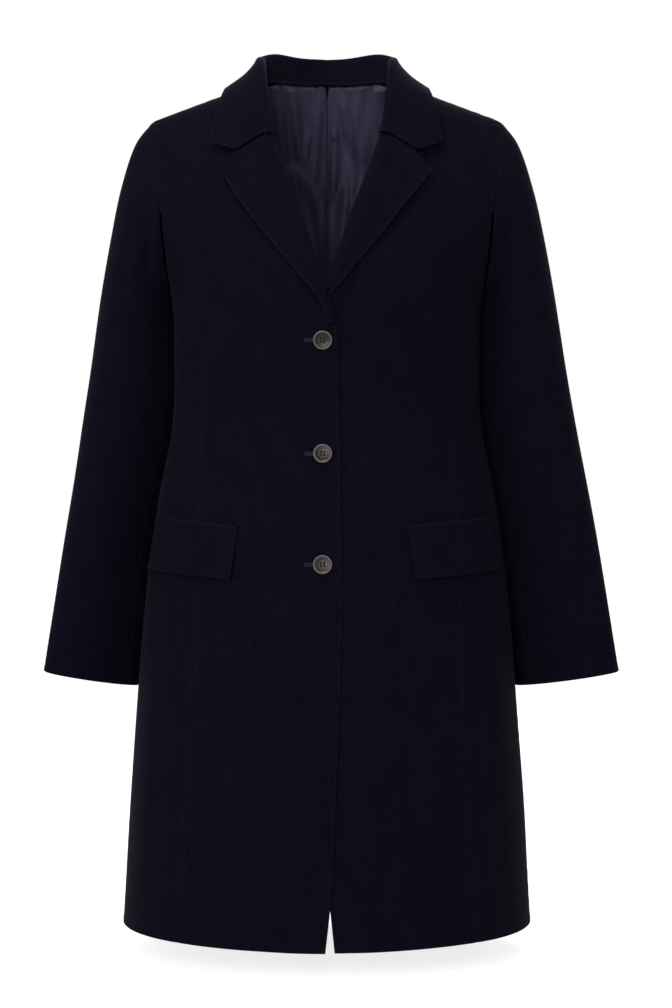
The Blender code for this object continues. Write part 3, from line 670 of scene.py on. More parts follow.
def lining_surface(u, v):
    points, level = lining_place(u, v)
    seated = ease((v - LINING_SEAT_FROM) / (1.0 - LINING_SEAT_FROM))
    seated = seated * ease((NECK_HALF - points[..., 0]) / LINING_SEAT_FADE)
    depth = CLOTH_WALL + mix(LINING_CLEARANCE, LINING_SEAT, seated)
    inward = mix(-facing_of(points), np.array((0.0, -1.0, 0.0)), seated[..., None])
    return points + inward * depth[..., None]


def lining_fall(folds, seed):
    """How far the lining hangs inward: gathered under the neck seam, then slack and in long folds."""

    def lifted(points, u, v):
        x, z = points[..., 0], points[..., 2]
        below_seam = np.maximum(NECK_SEAM_TOP - NECK_SEAM_SLOPE * np.abs(x) - z, 0.0)
        gathered = np.exp(-below_seam / GATHER_REACH)
        gather = slack(x, GATHER_UPRIGHT * z, GATHER_SIZE, GATHER_LIFT, seed) * gathered
        inward = GATHER_LIFT * gathered + gather
        loose = slack(x, LINING_UPRIGHT * z, LINING_SLACK_SIZE, LINING_SLACK, seed + 1)
        inward = inward + LINING_LOOSE + loose
        for fold in folds:
            inward = inward + soft_fold(x, z, fold.path, FOLD_SPREAD * fold.width, FOLD_DEPTH * fold.lift)
        return -np.maximum(inward, -LINING_LOOSE)

    return lifted


# Navy lining satin: a smooth weave with a soft sheen. Its colour is painted paler close under the
# collar, as painted light, deeper down the back, as painted shade, and darkest along its seams, as
# painted shade in the seam.
LINING_PAINTED_SHADE = (0.0095, 0.0093, 0.0185, 1.0)
LINING_SEAM = (0.0012, 0.0012, 0.0026, 1.0)
LINING_PAINTED_LIGHT = (0.0370, 0.0361, 0.0640, 1.0)
LINING_GLINT = (0.75, 0.75, 1.0, 1.0)
LINING_PAINTED_SHADE_AT = -0.110
LINING_PAINTED_LIGHT_AT = 0.005
LINING_CLOUDED = 0.5
lining_satin, shader, add, blend, join = new_finish("navy_lining_satin", {
    "Roughness": 0.50,
    "Specular IOR Level": 0.06,
    "Specular Tint": LINING_GLINT,
    "Sheen Weight": 0.02,
    "Sheen Tint": LINING_GLINT,
})
place = add("ShaderNodeUVMap", uv_map="cut")
weave_sizes = {
    "Stretch": 0.15,
    "Grain per metre": 2200.0,
    "Mottle per metre": 400.0,
    "Clouds per metre": 45.0,
}
weave = add("ShaderNodeGroup", weave_sizes, node_tree=fibre)
# Painted light and shade: by height, the colour runs from deep low down the back to pale at the neck.
where = add("ShaderNodeTexCoord")
height = add("ShaderNodeSeparateXYZ")
painted_light_ramp = add("ShaderNodeMapRange", {"From Min": LINING_PAINTED_SHADE_AT, "From Max": LINING_PAINTED_LIGHT_AT})
cloudy = add("ShaderNodeMath", {1: LINING_CLOUDED}, operation="MULTIPLY_ADD")
tone = add("ShaderNodeMath", {1: LINING_CLOUDED / 2}, operation="SUBTRACT", use_clamp=True)
satin = blend(LINING_PAINTED_LIGHT, LINING_PAINTED_SHADE)
# Painted shade along the seams.
seam_shade_mark = add("ShaderNodeAttribute", attribute_name="seamed")
shaded = blend(LINING_SEAM)
bump = add("ShaderNodeBump", {"Strength": 0.12, "Distance": 0.0002})
join(
    (place.outputs["UV"], weave.inputs["Place"]),
    (where.outputs["Object"], height.inputs["Vector"]),
    (height.outputs["Z"], painted_light_ramp.inputs["Value"]),
    (weave.outputs["Clouds"], cloudy.inputs[0]),
    (painted_light_ramp.outputs["Result"], cloudy.inputs[2]),
    (cloudy.outputs["Value"], tone.inputs[0]),
    (tone.outputs["Value"], satin.inputs["Factor"]),
    (seam_shade_mark.outputs["Fac"], shaded.inputs["Factor"]),
    (satin.outputs[MIXED], shaded.inputs[MIX_UNDER]),
    (shaded.outputs[MIXED], shader.inputs["Base Color"]),
    (weave.outputs["Grain"], bump.inputs["Height"]),
    (bump.outputs["Normal"], shader.inputs["Normal"]),
)

for k, side in enumerate(("right", "left")):
    lifted = lining_fall(LINING_FOLDS[side], seed=31 + 4 * k)
    cut = cut_cloth(
        lining_surface, LINING_COLUMNS, LINING_ROWS, ("low", "start"), lifted, seed=11 + k,
        sunk={"end": LINING_SEAM_DIP}, held_over=LINING_HELD,
    )
    lining = sew("back_lining_satin_" + side, cut, LINING_WALL, lining_satin, side)
    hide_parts("back_lining_" + side)

# The fronts: a panel each side from the shoulder to the hem, the right one lapped over the left.
# The front edge is turned in and pressed, and runs up into the lapel's roll line.
SEAM_MEETS_ARMHOLE = -0.150
BREAK_OF_LAPEL = -0.285
GORGE = -0.070
LAP_LIFT = 0.0030
LAP_BLEND = (-0.075, -0.020)
BUTTONED_TO = 0.022
BUTTONED_FADE = 0.025
# How strong a highlight is painted along the front edge and the hem.
FRONT_PAINTED_HIGHLIGHT = {"start": 0.35, **HEM_PAINTED_HIGHLIGHT}
FRONT_COLUMNS = 60
FRONT_ROWS = 210
Edge = namedtuple("Edge", "level right left")
FRONT_EDGE = (
    Edge(HEM, 0.0010, 0.0085),
    Edge(-0.880, -0.0045, 0.0030),
    Edge(-0.800, -0.0085, -0.0060),
    Edge(-0.680, -0.0135, -0.0120),
    Edge(-0.540, -0.0155, -0.0145),
    Edge(-0.400, -0.0137, -0.0137),
    Edge(BREAK_OF_LAPEL, -0.0110, -0.0110),
)
Line = namedtuple("Line", "level x")
ROLL_LINE = (
    Line(BREAK_OF_LAPEL, -0.0110),
    Line(-0.262, -0.0060),
    Line(-0.239, 0.0010),
    Line(-0.203, 0.0131),
    Line(-0.173, 0.0237),
    Line(-0.123, 0.0420),
    Line(-0.095, 0.0518),
    Line(GORGE, 0.0600),
    Line(-0.030, 0.0685),
    Line(0.0, NECK_HALF),
)
PANEL_SEAM = (
    Line(HEM, 0.158),
    Line(-0.800, 0.149),
    Line(-0.600, 0.139),
    Line(-0.400, 0.136),
    Line(-0.280, 0.138),
    Line(-0.215, 0.146),
    Line(SEAM_MEETS_ARMHOLE, 0.1786),
)
FRONT_FOLDS = {
    "right": (
        Fold(((0.020, -0.330), (0.060, -0.355), (0.115, -0.350)), 0.012, 0.0010),
        Fold(((0.025, -0.440), (0.075, -0.425), (0.120, -0.400)), 0.012, 0.0010),
        Fold(((0.060, -0.590), (0.068, -0.740), (0.072, -0.905)), 0.022, 0.0018),
        Fold(((0.110, -0.620), (0.120, -0.760), (0.124, -0.900)), 0.016, -0.0014),
        Fold(((0.118, -0.120), (0.135, -0.180), (0.128, -0.240)), 0.013, -0.0012),
    ),
    "left": (
        Fold(((0.0900, -0.560), (0.1150, -0.650), (0.1400, -0.750)), 0.014, 0.0024),
        Fold(((0.1080, -0.590), (0.1180, -0.660), (0.1300, -0.745)), 0.009, -0.0012),
        Fold(((0.045, -0.600), (0.052, -0.750), (0.050, -0.905)), 0.022, 0.0016),
        Fold(((0.025, -0.345), (0.070, -0.360), (0.118, -0.345)), 0.012, 0.0009),
        Fold(((0.112, -0.115), (0.133, -0.190)), 0.013, -0.0012),
    ),
}


def lap_lift(x):
    low, high = LAP_BLEND
    return LAP_LIFT * ease((-x - low) / (high - low))


def front_level(v):
    low = mix(HEM, SEAM_MEETS_ARMHOLE, v / LOWER_SHARE)
    high = SEAM_MEETS_ARMHOLE * (1.0 - (v - LOWER_SHARE) / (1.0 - LOWER_SHARE)) ** 2
    return np.where(v <= LOWER_SHARE, low, high)


def lapped(points, level, side):
    """The right front is lifted over the left one."""
    if side == "right":
        points[..., 1] -= lap_lift(points[..., 0]) * shoulder_round(level, CHEST_RISE)
    return points


def front_point(x, level, side):
    return lapped(body_point(angle_at(x, level), level), level, side)


def front_surface(side):
    def surface(u, v):
        level = front_level(v)
        below = smooth(FRONT_EDGE, level, side)
        inner = np.where(level >= BREAK_OF_LAPEL, smooth(ROLL_LINE, level, "x"), below)
        outer = np.where(level < SEAM_MEETS_ARMHOLE, smooth(PANEL_SEAM, level, "x"), armhole_x(level))
        lap = np.where(level < SEAM_MEETS_ARMHOLE, SEAM_LAP, 0.0)
        angle = mix(angle_at(inner, level), angle_at(outer, level) + lap, u)
        return lapped(body_point(angle, level), level, side)

    return surface


def front_fall(side, seed):
    """The front's folds, smoothed out along the row of buttons."""
    fall = folded(FRONT_FOLDS[side], seed)

    def lifted(points, u, v):
        return fall(points, u, v) * ease((points[..., 0] - BUTTONED_TO) / BUTTONED_FADE)

    return lifted


for k, side in enumerate(("right", "left")):
    lifted = front_fall(side, seed=41 + k)
    surface = front_surface(side)
    cut = cut_cloth(
        surface, FRONT_COLUMNS, FRONT_ROWS, ("start", "low"), lifted, seed=21 + k, painted_edge_highlight=FRONT_PAINTED_HIGHLIGHT,
    )
    front = sew("front_panel_" + side, cut, CLOTH_WALL, navy_cloth, side)
    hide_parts("front_" + side)
    pieces["front_" + side] = front

# The side fronts: a panel each side from the armhole to the hem, sewn to the front along a curved
# seam over the bust and to the back at the side.
SIDE_COLUMNS = 40
SIDE_ROWS = 180
SIDE_FOLDS = {
    "right": (
        Fold(((0.165, -0.330), (0.150, -0.370), (0.142, -0.430)), 0.009, 0.0009),
        Fold(((0.180, -0.600), (0.192, -0.740), (0.200, -0.900)), 0.012, 0.0014),
    ),
    "left": (
        Fold(((0.178, -0.620), (0.186, -0.690), (0.188, -0.760)), 0.008, 0.0016),
        Fold(((0.160, -0.330), (0.148, -0.380), (0.141, -0.440)), 0.009, 0.0009),
        Fold(((0.168, -0.680), (0.176, -0.800), (0.180, -0.905)), 0.010, -0.0012),
    ),
}


def side_front_surface(u, v):
    def seam(v):
        level = mix(HEM, SEAM_MEETS_ARMHOLE, v)
        return np.stack((angle_at(smooth(PANEL_SEAM, level, "x"), level), level), -1)

    def side_seam(v):
        return np.stack((np.full(np.shape(v), math.pi / 2), mix(HEM, UNDERARM, v)), -1)

    def armhole(u):
        level = mix(UNDERARM, SEAM_MEETS_ARMHOLE, (1.0 - u) ** 2)
        return np.stack((angle_at(armhole_x(level), level), level), -1)

    def hem(u):
        return mix(seam(0.0 * u), side_seam(0.0 * u), u[..., None])

    none, whole = np.zeros(u.shape), np.ones(u.shape)
    ruled = mix(seam(v), side_seam(v), u[..., None]) + mix(hem(u), armhole(u), v[..., None])
    low = mix(hem(none), hem(whole), u[..., None])
    high = mix(armhole(none), armhole(whole), u[..., None])
    place = ruled - mix(low, high, v[..., None])
    return body_point(np.minimum(place[..., 0], math.pi / 2), place[..., 1])


for k, side in enumerate(("right", "left")):
    lifted = folded(SIDE_FOLDS[side], seed=51 + k)
    cut = cut_cloth(
        side_front_surface, SIDE_COLUMNS, SIDE_ROWS, ("low",), lifted, seed=31 + k, painted_edge_highlight=HEM_PAINTED_HIGHLIGHT,
    )
    side_front = sew("side_front_panel_" + side, cut, CLOTH_WALL, navy_cloth, side)
    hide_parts("side_front_" + side)

# The sleeves: a top sleeve and a narrower under sleeve, joined by two seams that run down to the
# cuff. The head is eased into the armhole, which leaves soft folds at the front of it.
SEAM_AT_FRONT = math.radians(138)
SEAM_AT_BACK = math.radians(-122)
# The top sleeve reaches past its seams by this angle round the arm, so that no light shows there.
SLEEVE_LAP = 0.002
SLEEVE_CLEARANCE = (0.0008, 0.0024)
CLEAR_OVER = 0.30
SWING = {"right": -0.0055, "left": 0.0050}
ARMHOLE_BLEND = 0.16
CLEAR_BY = 0.05
SLEEVE_ROWS = 150
TOP_SLEEVE_COLUMNS = 80
UNDER_SLEEVE_COLUMNS = 34
SLEEVE_ROUND = 0.065
SLEEVE_LENGTH = 0.62
SLEEVE_SLACK_SIZE = 0.09
HELD_FROM = 0.9
Ring = namedtuple("Ring", "along outer_x outer_y outer_z inner_y inner_z half_depth")
SLEEVE = (
    Ring(0.00, SHOULDER_HALF, 0.0, -SHOULDER_DROP, 0.0, UNDERARM, 0.055),
    Ring(0.05, 0.2110, 0.000, -0.070, 0.014, -0.243, 0.060),
    Ring(0.12, 0.2265, -0.001, -0.118, 0.021, -0.253, 0.064),
    Ring(0.20, 0.2375, -0.003, -0.170, 0.024, -0.268, 0.067),
    Ring(0.30, 0.2490, -0.007, -0.238, 0.025, -0.296, 0.067),
    Ring(0.42, 0.2605, -0.012, -0.316, 0.025, -0.344, 0.064),
    Ring(0.55, 0.2725, -0.017, -0.392, 0.0245, -0.412, 0.060),
    Ring(0.70, 0.2865, -0.023, -0.477, 0.024, -0.495, 0.054),
    Ring(0.85, 0.3005, -0.029, -0.565, 0.023, -0.585, 0.046),
    Ring(1.00, 0.3135, -0.034, -0.649, 0.022, -0.6685, 0.040),
)
SLEEVE_FOLDS = {
    "right": (
        Fold(((74, 0.08), (78, 0.17), (80, 0.27)), 0.0085, 0.0018),
        Fold(((97, 0.04), (100, 0.12), (99, 0.22)), 0.0085, -0.0026),
        Fold(((112, 0.06), (122, 0.12), (128, 0.20)), 0.0060, 0.0014),
        Fold(((120, 0.43), (95, 0.47), (62, 0.47)), 0.0100, -0.0014),
        Fold(((122, 0.49), (100, 0.52), (72, 0.53)), 0.0110, 0.0012),
        Fold(((-60, 0.40), (-88, 0.46), (-110, 0.49)), 0.0110, -0.0014),
        Fold(((-70, 0.06), (-78, 0.16), (-84, 0.26)), 0.0100, 0.0015),
        Fold(((-96, 0.05), (-100, 0.14), (-102, 0.24)), 0.0080, -0.0018),
    ),
    "left": (
        Fold(((72, 0.09), (77, 0.18), (80, 0.30)), 0.0090, 0.0016),
        Fold(((95, 0.04), (99, 0.13), (100, 0.25)), 0.0085, -0.0024),
        Fold(((110, 0.05), (120, 0.11), (126, 0.18)), 0.0060, 0.0012),
        Fold(((118, 0.45), (92, 0.48), (66, 0.49)), 0.0100, -0.0012),
        Fold(((120, 0.52), (98, 0.55), (75, 0.55)), 0.0110, 0.0012),
        Fold(((-58, 0.42), (-86, 0.47), (-108, 0.51)), 0.0110, -0.0014),
        Fold(((-72, 0.06), (-80, 0.17), (-85, 0.27)), 0.0100, 0.0015),
        Fold(((-94, 0.05), (-99, 0.13), (-101, 0.22)), 0.0080, -0.0018),
    ),
}


def beside_body(y, level):
    """How far across the body reaches, this far behind its middle."""
    share = 1.0 - (y / smooth(BODY, level, "back_depth")) ** SECTION_ROUNDNESS
    return smooth(BODY, level, "half_width") * share ** (1.0 / SECTION_ROUNDNESS)


def sleeve_point(turn, v, side):
    """The sleeve's outer face: turn 0 at the top, a quarter turn at the front, half at the underarm."""
    level = UNDERARM * (0.5 - 0.5 * np.cos(turn))
    armhole = body_point(angle_at(armhole_x(level), level, back=np.sin(turn) < 0.0), level)
    drop_at_armhole = (armhole[..., 2] + SHOULDER_DROP) / (UNDERARM + SHOULDER_DROP)
    share = ease(v / ARMHOLE_BLEND)
    drop = mix(drop_at_armhole, 0.5 - 0.5 * np.cos(turn), share)
    inner_y, inner_z = smooth(SLEEVE, v, "inner_y"), smooth(SLEEVE, v, "inner_z")
    clear = mix(*SLEEVE_CLEARANCE, np.minimum(v / CLEAR_OVER, 1.0)) * np.minimum(v / CLEAR_BY, 1.0)
    inner_x = beside_body(inner_y, inner_z) + clear
    x = mix(smooth(SLEEVE, v, "outer_x") + SWING[side] * ease(v), inner_x, drop)
    y = mix(smooth(SLEEVE, v, "outer_y"), inner_y, drop) - np.sin(turn) * smooth(SLEEVE, v, "half_depth")
    z = mix(smooth(SLEEVE, v, "outer_z"), inner_z, drop)
    return np.stack((x + SEAM_GAP, mix(armhole[..., 1], y, share), z), -1)


def sleeve_surface(start, end, side):
    def surface(u, v):
        return sleeve_point(mix(end, start, u), 1.0 - v, side)

    return surface


def sleeve_fall(folds, start, end, seed):
    def lifted(points, u, v):
        turn = mix(end, start, u) * SLEEVE_ROUND
        along = (1.0 - v) * SLEEVE_LENGTH
        lift = slack(turn, along, SLEEVE_SLACK_SIZE, CLOTH_SLACK, seed)
        for fold in folds:
            path = [(math.radians(at) * SLEEVE_ROUND, share * SLEEVE_LENGTH) for at, share in fold.path]
            lift = lift + soft_fold(turn, along, path, fold.width, fold.lift)
        return lift

    return lifted


def keep_in_armhole(out, points):
    """Holds the wall at the sleeve's top in the armhole's plane, so that it stands clear of the body."""
    plane = np.array((1.0, 0.0, -ARMHOLE_LEAN)) / math.hypot(1.0, ARMHOLE_LEAN)
    hold = ease((crowded(points.shape[0], UP_EASED) - HELD_FROM) / (1.0 - HELD_FROM))[:, None]
    kept = out - plane * ((out @ plane) * hold)[..., None]
    return kept / np.linalg.norm(kept, axis=-1, keepdims=True)


for k, side in enumerate(("right", "left")):
    surface = sleeve_surface(SEAM_AT_BACK - SLEEVE_LAP, SEAM_AT_FRONT + SLEEVE_LAP, side)
    lifted = sleeve_fall(SLEEVE_FOLDS[side], SEAM_AT_BACK, SEAM_AT_FRONT, seed=61 + k)
    cut = cut_cloth(
        surface, TOP_SLEEVE_COLUMNS, SLEEVE_ROWS, ("low",), lifted, seed=41 + k, painted_edge_highlight=HEM_PAINTED_HIGHLIGHT,
    )
    top_sleeve = sew("top_sleeve_panel_" + side, cut, CLOTH_WALL, navy_cloth, side, keep_in_armhole)
    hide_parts("top_sleeve_" + side)
    surface = sleeve_surface(SEAM_AT_FRONT, SEAM_AT_BACK + 2.0 * math.pi, side)
    lifted = sleeve_fall((), SEAM_AT_FRONT, SEAM_AT_BACK + 2.0 * math.pi, seed=65 + k)
    cut = cut_cloth(
        surface, UNDER_SLEEVE_COLUMNS, SLEEVE_ROWS, ("low",), lifted, seed=45 + k, painted_edge_highlight=HEM_PAINTED_HIGHLIGHT,
    )
    under_sleeve = sew("under_sleeve_panel_" + side, cut, CLOTH_WALL, navy_cloth, side, keep_in_armhole)
    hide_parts("under_sleeve_" + side)

# The lapels: the fronts' facing, turned back at the roll line and pressed, with a notch where
# each meets the collar. The right one runs down into the front edge at the top button.
FOLDED_WALL = 0.0028
LAPEL_NOTCH_AT = 0.65
LAPEL_NOTCH_RISE = 0.0090
LAPEL_ROLL = {"right": (0.0, 0.0026), "left": (0.0030, 0.0026)}
LAPEL_ROLL_WIDTH = 0.010
ROLL_SHARE = 0.8
LAPELS_APART = 0.0045
LAID_OVER = 0.0020
LAID_SHARE = 0.65
LAPEL_MEET = 0.0004
LAPEL_COLUMNS = 44
LAPEL_ROWS = 110
# How strong a highlight is painted along the lapel's free edges.
LAPEL_PAINTED_HIGHLIGHT = {"end": 0.6, "top": 0.3}
NOTCH_FADE = 6
MEET_FADE = 30
DOUBLED_SLACK = 0.00025
DOUBLED_SLACK_SIZE = 0.06
Lapel = namedtuple("Lapel", "up roll_level edge_x edge_level roll_height edge_height")
LAPELS = {
    "right": (
        Lapel(0.00, -0.2790, -0.0034, -0.2765, 0.0042, 0.0040),
        Lapel(0.20, -0.2480, 0.0087, -0.2515, 0.0060, 0.0050),
        Lapel(0.36, -0.2160, 0.0233, -0.2330, 0.0095, 0.0060),
        Lapel(0.58, -0.1700, 0.0561, -0.1935, 0.0125, 0.0068),
        Lapel(0.82, -0.1150, 0.0921, -0.1445, 0.0138, 0.0072),
        Lapel(1.00, GORGE, 0.1136, -0.1035, 0.0135, 0.0074),
    ),
    "left": (
        Lapel(0.00, -0.2400, 0.0045, -0.2485, 0.0088, 0.0064),
        Lapel(0.25, -0.1900, 0.0302, -0.2170, 0.0105, 0.0064),
        Lapel(0.50, -0.1500, 0.0570, -0.1840, 0.0122, 0.0068),
        Lapel(0.75, -0.1090, 0.0859, -0.1450, 0.0138, 0.0072),
        Lapel(1.00, GORGE, 0.1133, -0.1035, 0.0135, 0.0074),
    ),
}


def peak(t, at):
    """Rises in a straight line from 0 to 1 at one place, and falls to 0 again."""
    return np.where(t < at, t / at, (1.0 - t) / (1.0 - at))


def lapel_surface(side):
    table = LAPELS[side]

    def surface(u, v):
        roll_level = smooth(table, v, "roll_level")
        roll_x = smooth(ROLL_LINE, roll_level, "x")
        over = np.maximum(LAPELS_APART - 2.0 * roll_x, 0.0) if side == "left" else 0.0 * roll_x
        roll_x = roll_x + over
        laid = LAID_SHARE * np.minimum(over / LAID_OVER, 1.0)
        edge_x, edge_level = smooth(table, v, "edge_x"), smooth(table, v, "edge_level")
        width = np.hypot(edge_x - roll_x, edge_level - roll_level)
        level = mix(roll_level, edge_level, u) + LAPEL_NOTCH_RISE * peak(u, LAPEL_NOTCH_AT) * v**NOTCH_FADE
        level = level + LAPEL_MEET * v**MEET_FADE
        points = front_point(mix(roll_x, edge_x, u), level, side)
        turn = np.minimum(u * width / np.minimum(LAPEL_ROLL_WIDTH, ROLL_SHARE * width), 1.0)
        rolled = np.sqrt(1.0 - (1.0 - turn) ** 2)
        height = mix(smooth(table, v, "roll_height"), smooth(table, v, "edge_height"), u)
        points[..., 1] -= height * mix(laid, 1.0, rolled)
        points[..., 0] -= mix(*LAPEL_ROLL[side], v) * (1.0 - rolled)
        return points

    return surface


def doubled_fall(seed):
    """The slight unevenness of cloth that is doubled and pressed."""

    def lifted(points, u, v):
        return slack(points[..., 0], points[..., 2], DOUBLED_SLACK_SIZE, DOUBLED_SLACK, seed)

    return lifted


for k, side in enumerate(("right", "left")):
    cut = cut_cloth(
        lapel_surface(side), LAPEL_COLUMNS, LAPEL_ROWS, SIDES_OF_PIECE,
        doubled_fall(seed=71 + k), seed=51 + k, sewn={"top": LAPEL_NOTCH_AT}, painted_edge_highlight=LAPEL_PAINTED_HIGHLIGHT,
    )
    lapel = sew("lapel_facing_" + side, cut, FOLDED_WALL, navy_cloth, side)
    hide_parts("lapel_" + side)
    pieces["lapel_" + side] = lapel

# The collar: one folded piece, sewn to the neck edge, standing up round the neck and turned down
# over the shoulders to its points above the lapels.
COLLAR_NOTCH_AT = 0.50
GORGE_DIP = np.array((-0.0052, -0.0087, -0.0136))
STAND_SHARE = 0.30
FOLD_SHARE = 0.20
FOLD_RADIUS = 0.0036
COLLAR_SEAT = 0.0030
COLLAR_COVER = 0.0050
COLLAR_COVERS = (0.36, 0.52)
MIDDLE_OF_NECK = np.array((0.0, -0.030))
GORGE_SHARE = 0.75
GORGE_MEET = np.array((0.0, -0.0002, -0.0005))
COLLAR_COLUMNS = 70
COLLAR_ROWS = 170
# How strong a highlight is painted along the collar's free edges.
COLLAR_PAINTED_HIGHLIGHT = {"end": 0.5, "low": 0.3, "top": 0.3}
NECK_CURVE = 1.4
FOLD_AT_GORGE = 0.7
SEAT_AT_GORGE = 0.4
GORGE_FADE = 10
EdgeSpot = namedtuple("EdgeSpot", "along x y z")
Station = namedtuple("Station", "along roll_x roll_y roll_z edge_x edge_level edge_back off_y off_z bulge")
COLLAR = (
    Station(0.00, 0.0000, 0.0055, 0.0273, 0.0000, -0.0190, True, 0.0060, 0.0010, 0.0045),
    Station(0.25, -0.0005, 0.0045, 0.0308, 0.0620, -0.0240, True, 0.0060, 0.0030, 0.0035),
    Station(0.42, -0.0010, 0.0025, 0.0272, 0.0950, -0.0120, True, 0.0045, 0.0045, 0.0000),
    Station(0.55, -0.0020, -0.0010, 0.0235, 0.1085, 0.0000, False, 0.0000, 0.0040, -0.0022),
    Station(0.70, -0.0026, -0.0045, 0.0185, 0.1145, -0.0100, False, -0.0045, 0.0050, 0.0005),
    Station(0.85, -0.0018, -0.0090, 0.0105, 0.1200, -0.0340, False, -0.0065, 0.0045, 0.0040),
    Station(1.00, -0.0001, -0.0146, -0.0032, 0.1245, -0.0640, False, -0.0075, 0.0015, 0.0050),
)


def neck_seam(along):
    """The neck edge of the coat, from the centre back over the neck point and down to the gorge."""
    x = NECK_HALF * np.sin(math.pi * np.minimum(along, 0.5))
    behind = back_point(angle_at(x, 0.0 * x, back=True), 0.0 * x)
    level = GORGE * np.maximum(2.0 * along - 1.0, 0.0) ** NECK_CURVE
    ahead = front_point(smooth(ROLL_LINE, level, "x"), level, "left")
    return np.where((along <= 0.5)[..., None], behind, ahead)


def collar_edge_rows():
    """The collar's outer edge at each station, lying just off the coat."""
    rows = []
    for row in COLLAR:
        level = np.array(row.edge_level)
        angle = angle_at(np.array(row.edge_x), level, row.edge_back)
        cloth_at = back_point(angle, level) if row.edge_back else body_point(angle, level)
        rows.append(EdgeSpot(row.along, *(cloth_at + np.array((0.0, row.off_y, row.off_z)))))
    return rows


COLLAR_EDGE = collar_edge_rows()


def collar_surface(u, v):
    """From the seam up the stand, over the fold and down the fall, round from the right end to the left."""
    along = np.abs(2.0 * v - 1.0)
    seam = neck_seam(along)
    offset = np.stack([smooth(COLLAR, along, label) for label in ("roll_x", "roll_y", "roll_z")], -1)
    edge = np.stack([smooth(COLLAR_EDGE, along, label) for label in "xyz"], -1)
    roll = seam + offset
    rise = offset / np.linalg.norm(offset, axis=-1, keepdims=True)
    spread = edge - seam
    outward = spread - rise * (spread * rise).sum(-1, keepdims=True)
    outward = outward / np.linalg.norm(outward, axis=-1, keepdims=True)
    radius = (FOLD_RADIUS * mix(1.0, FOLD_AT_GORGE, ease(2.0 * along - 1.0)))[..., None]
    covers = ease((COLLAR_COVERS[1] - along) / (COLLAR_COVERS[1] - COLLAR_COVERS[0]))[..., None]
    inward = MIDDLE_OF_NECK - seam[..., :2]
    inward = COLLAR_COVER * inward / np.linalg.norm(inward, axis=-1, keepdims=True)
    foot = seam + np.concatenate((covers * inward, -COLLAR_SEAT * mix(SEAT_AT_GORGE, 1.0, covers)), -1)
    stand = mix(foot, roll - rise * radius, (u / STAND_SHARE)[..., None])
    turn = (math.pi * np.clip((u - STAND_SHARE) / FOLD_SHARE, 0.0, 1.0))[..., None]
    fold = roll + outward * radius * (1.0 - np.cos(turn)) - rise * radius * (1.0 - np.sin(turn))
    t = np.clip((u - STAND_SHARE - FOLD_SHARE) / (1.0 - STAND_SHARE - FOLD_SHARE), 0.0, 1.0)[..., None]
    bulge = smooth(COLLAR, along, "bulge")[..., None]
    past_fold = roll + outward * 2.0 * radius - rise * radius
    fall = mix(past_fold, edge, t) + outward * bulge * 4.0 * t * (1.0 - t)
    fall = fall + GORGE_DIP * peak(t, COLLAR_NOTCH_AT) * (along**GORGE_FADE)[..., None]
    past_stand = np.where((u < STAND_SHARE + FOLD_SHARE)[..., None], fold, fall)
    points = np.where((u < STAND_SHARE)[..., None], stand, past_stand)
    points = points + GORGE_MEET * (along**MEET_FADE)[..., None]
    points[..., 0] *= np.where(v > 0.5, 1.0, -1.0)
    return points


cut = cut_cloth(
    collar_surface, COLLAR_COLUMNS, COLLAR_ROWS, ("end", "low", "top"),
    doubled_fall(seed=75), seed=61,
    sewn={"low": GORGE_SHARE, "top": GORGE_SHARE}, painted_edge_highlight=COLLAR_PAINTED_HIGHLIGHT,
)
collar = sew("collar_cloth", cut, FOLDED_WALL, navy_cloth)
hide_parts("collar")

# The pocket flaps: a lined, pressed flap over each hip, sewn down along its top edge and
# standing a little off the coat at the bottom.
FLAP_TOP = ((0.0910, -0.4885), (0.1795, -0.4790))
FLAP_LOW = ((0.0975, -0.5465), (0.1895, -0.5385))
FLAP_CLEARANCE = 0.0010
FLAP_FLARE = 0.0022
FLAP_SHIFT = {"right": 0.0, "left": -0.0068}
FLAP_COLUMNS = 60
FLAP_ROWS = 44
# How strong a highlight is painted along the flap's free edges.
FLAP_PAINTED_HIGHLIGHT = {"low": 0.15, "start": 0.1, "end": 0.1}


def flap_surface(side):
    def surface(u, v):
        x = mix(mix(FLAP_LOW[0][0], FLAP_LOW[1][0], u), mix(FLAP_TOP[0][0], FLAP_TOP[1][0], u), v)
        level = mix(mix(FLAP_LOW[0][1], FLAP_LOW[1][1], u), mix(FLAP_TOP[0][1], FLAP_TOP[1][1], u), v)
        points = body_point(angle_at(x + FLAP_SHIFT[side], level), level)
        out = points * np.array((1.0, 1.0, 0.0))
        out = out / np.linalg.norm(out, axis=-1, keepdims=True)
        return points + out * (FOLDED_WALL + FLAP_CLEARANCE + FLAP_FLARE * (1.0 - v))[..., None]

    return surface


for k, side in enumerate(("right", "left")):
    cut = cut_cloth(
        flap_surface(side), FLAP_COLUMNS, FLAP_ROWS, SIDES_OF_PIECE,
        doubled_fall(seed=81 + k), seed=71 + k, painted_edge_highlight=FLAP_PAINTED_HIGHLIGHT,
    )
    flap = sew("pocket_flap_cloth_" + side, cut, FOLDED_WALL, navy_cloth, side)
    pieces["flap_" + side] = flap
    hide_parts("pocket_flap_" + side)

# The flap stitching: a row of small machine stitches in navy thread that holds each flap's top
# edge down to the coat.
STITCH_LENGTH = 0.0022
STITCH_PITCH = 0.0028
STITCH_THICK = 0.00042
STITCH_IN = 0.0034
STITCH_AROUND = 8
STITCH_ALONG = 5
FIBRES_PER_METRE = 2600.0
THREAD_DEEP = (0.0016, 0.0016, 0.0036, 1.0)
THREAD_PALE = (0.0050, 0.0049, 0.0090, 1.0)
Stitch = namedtuple("Stitch", "start end out")


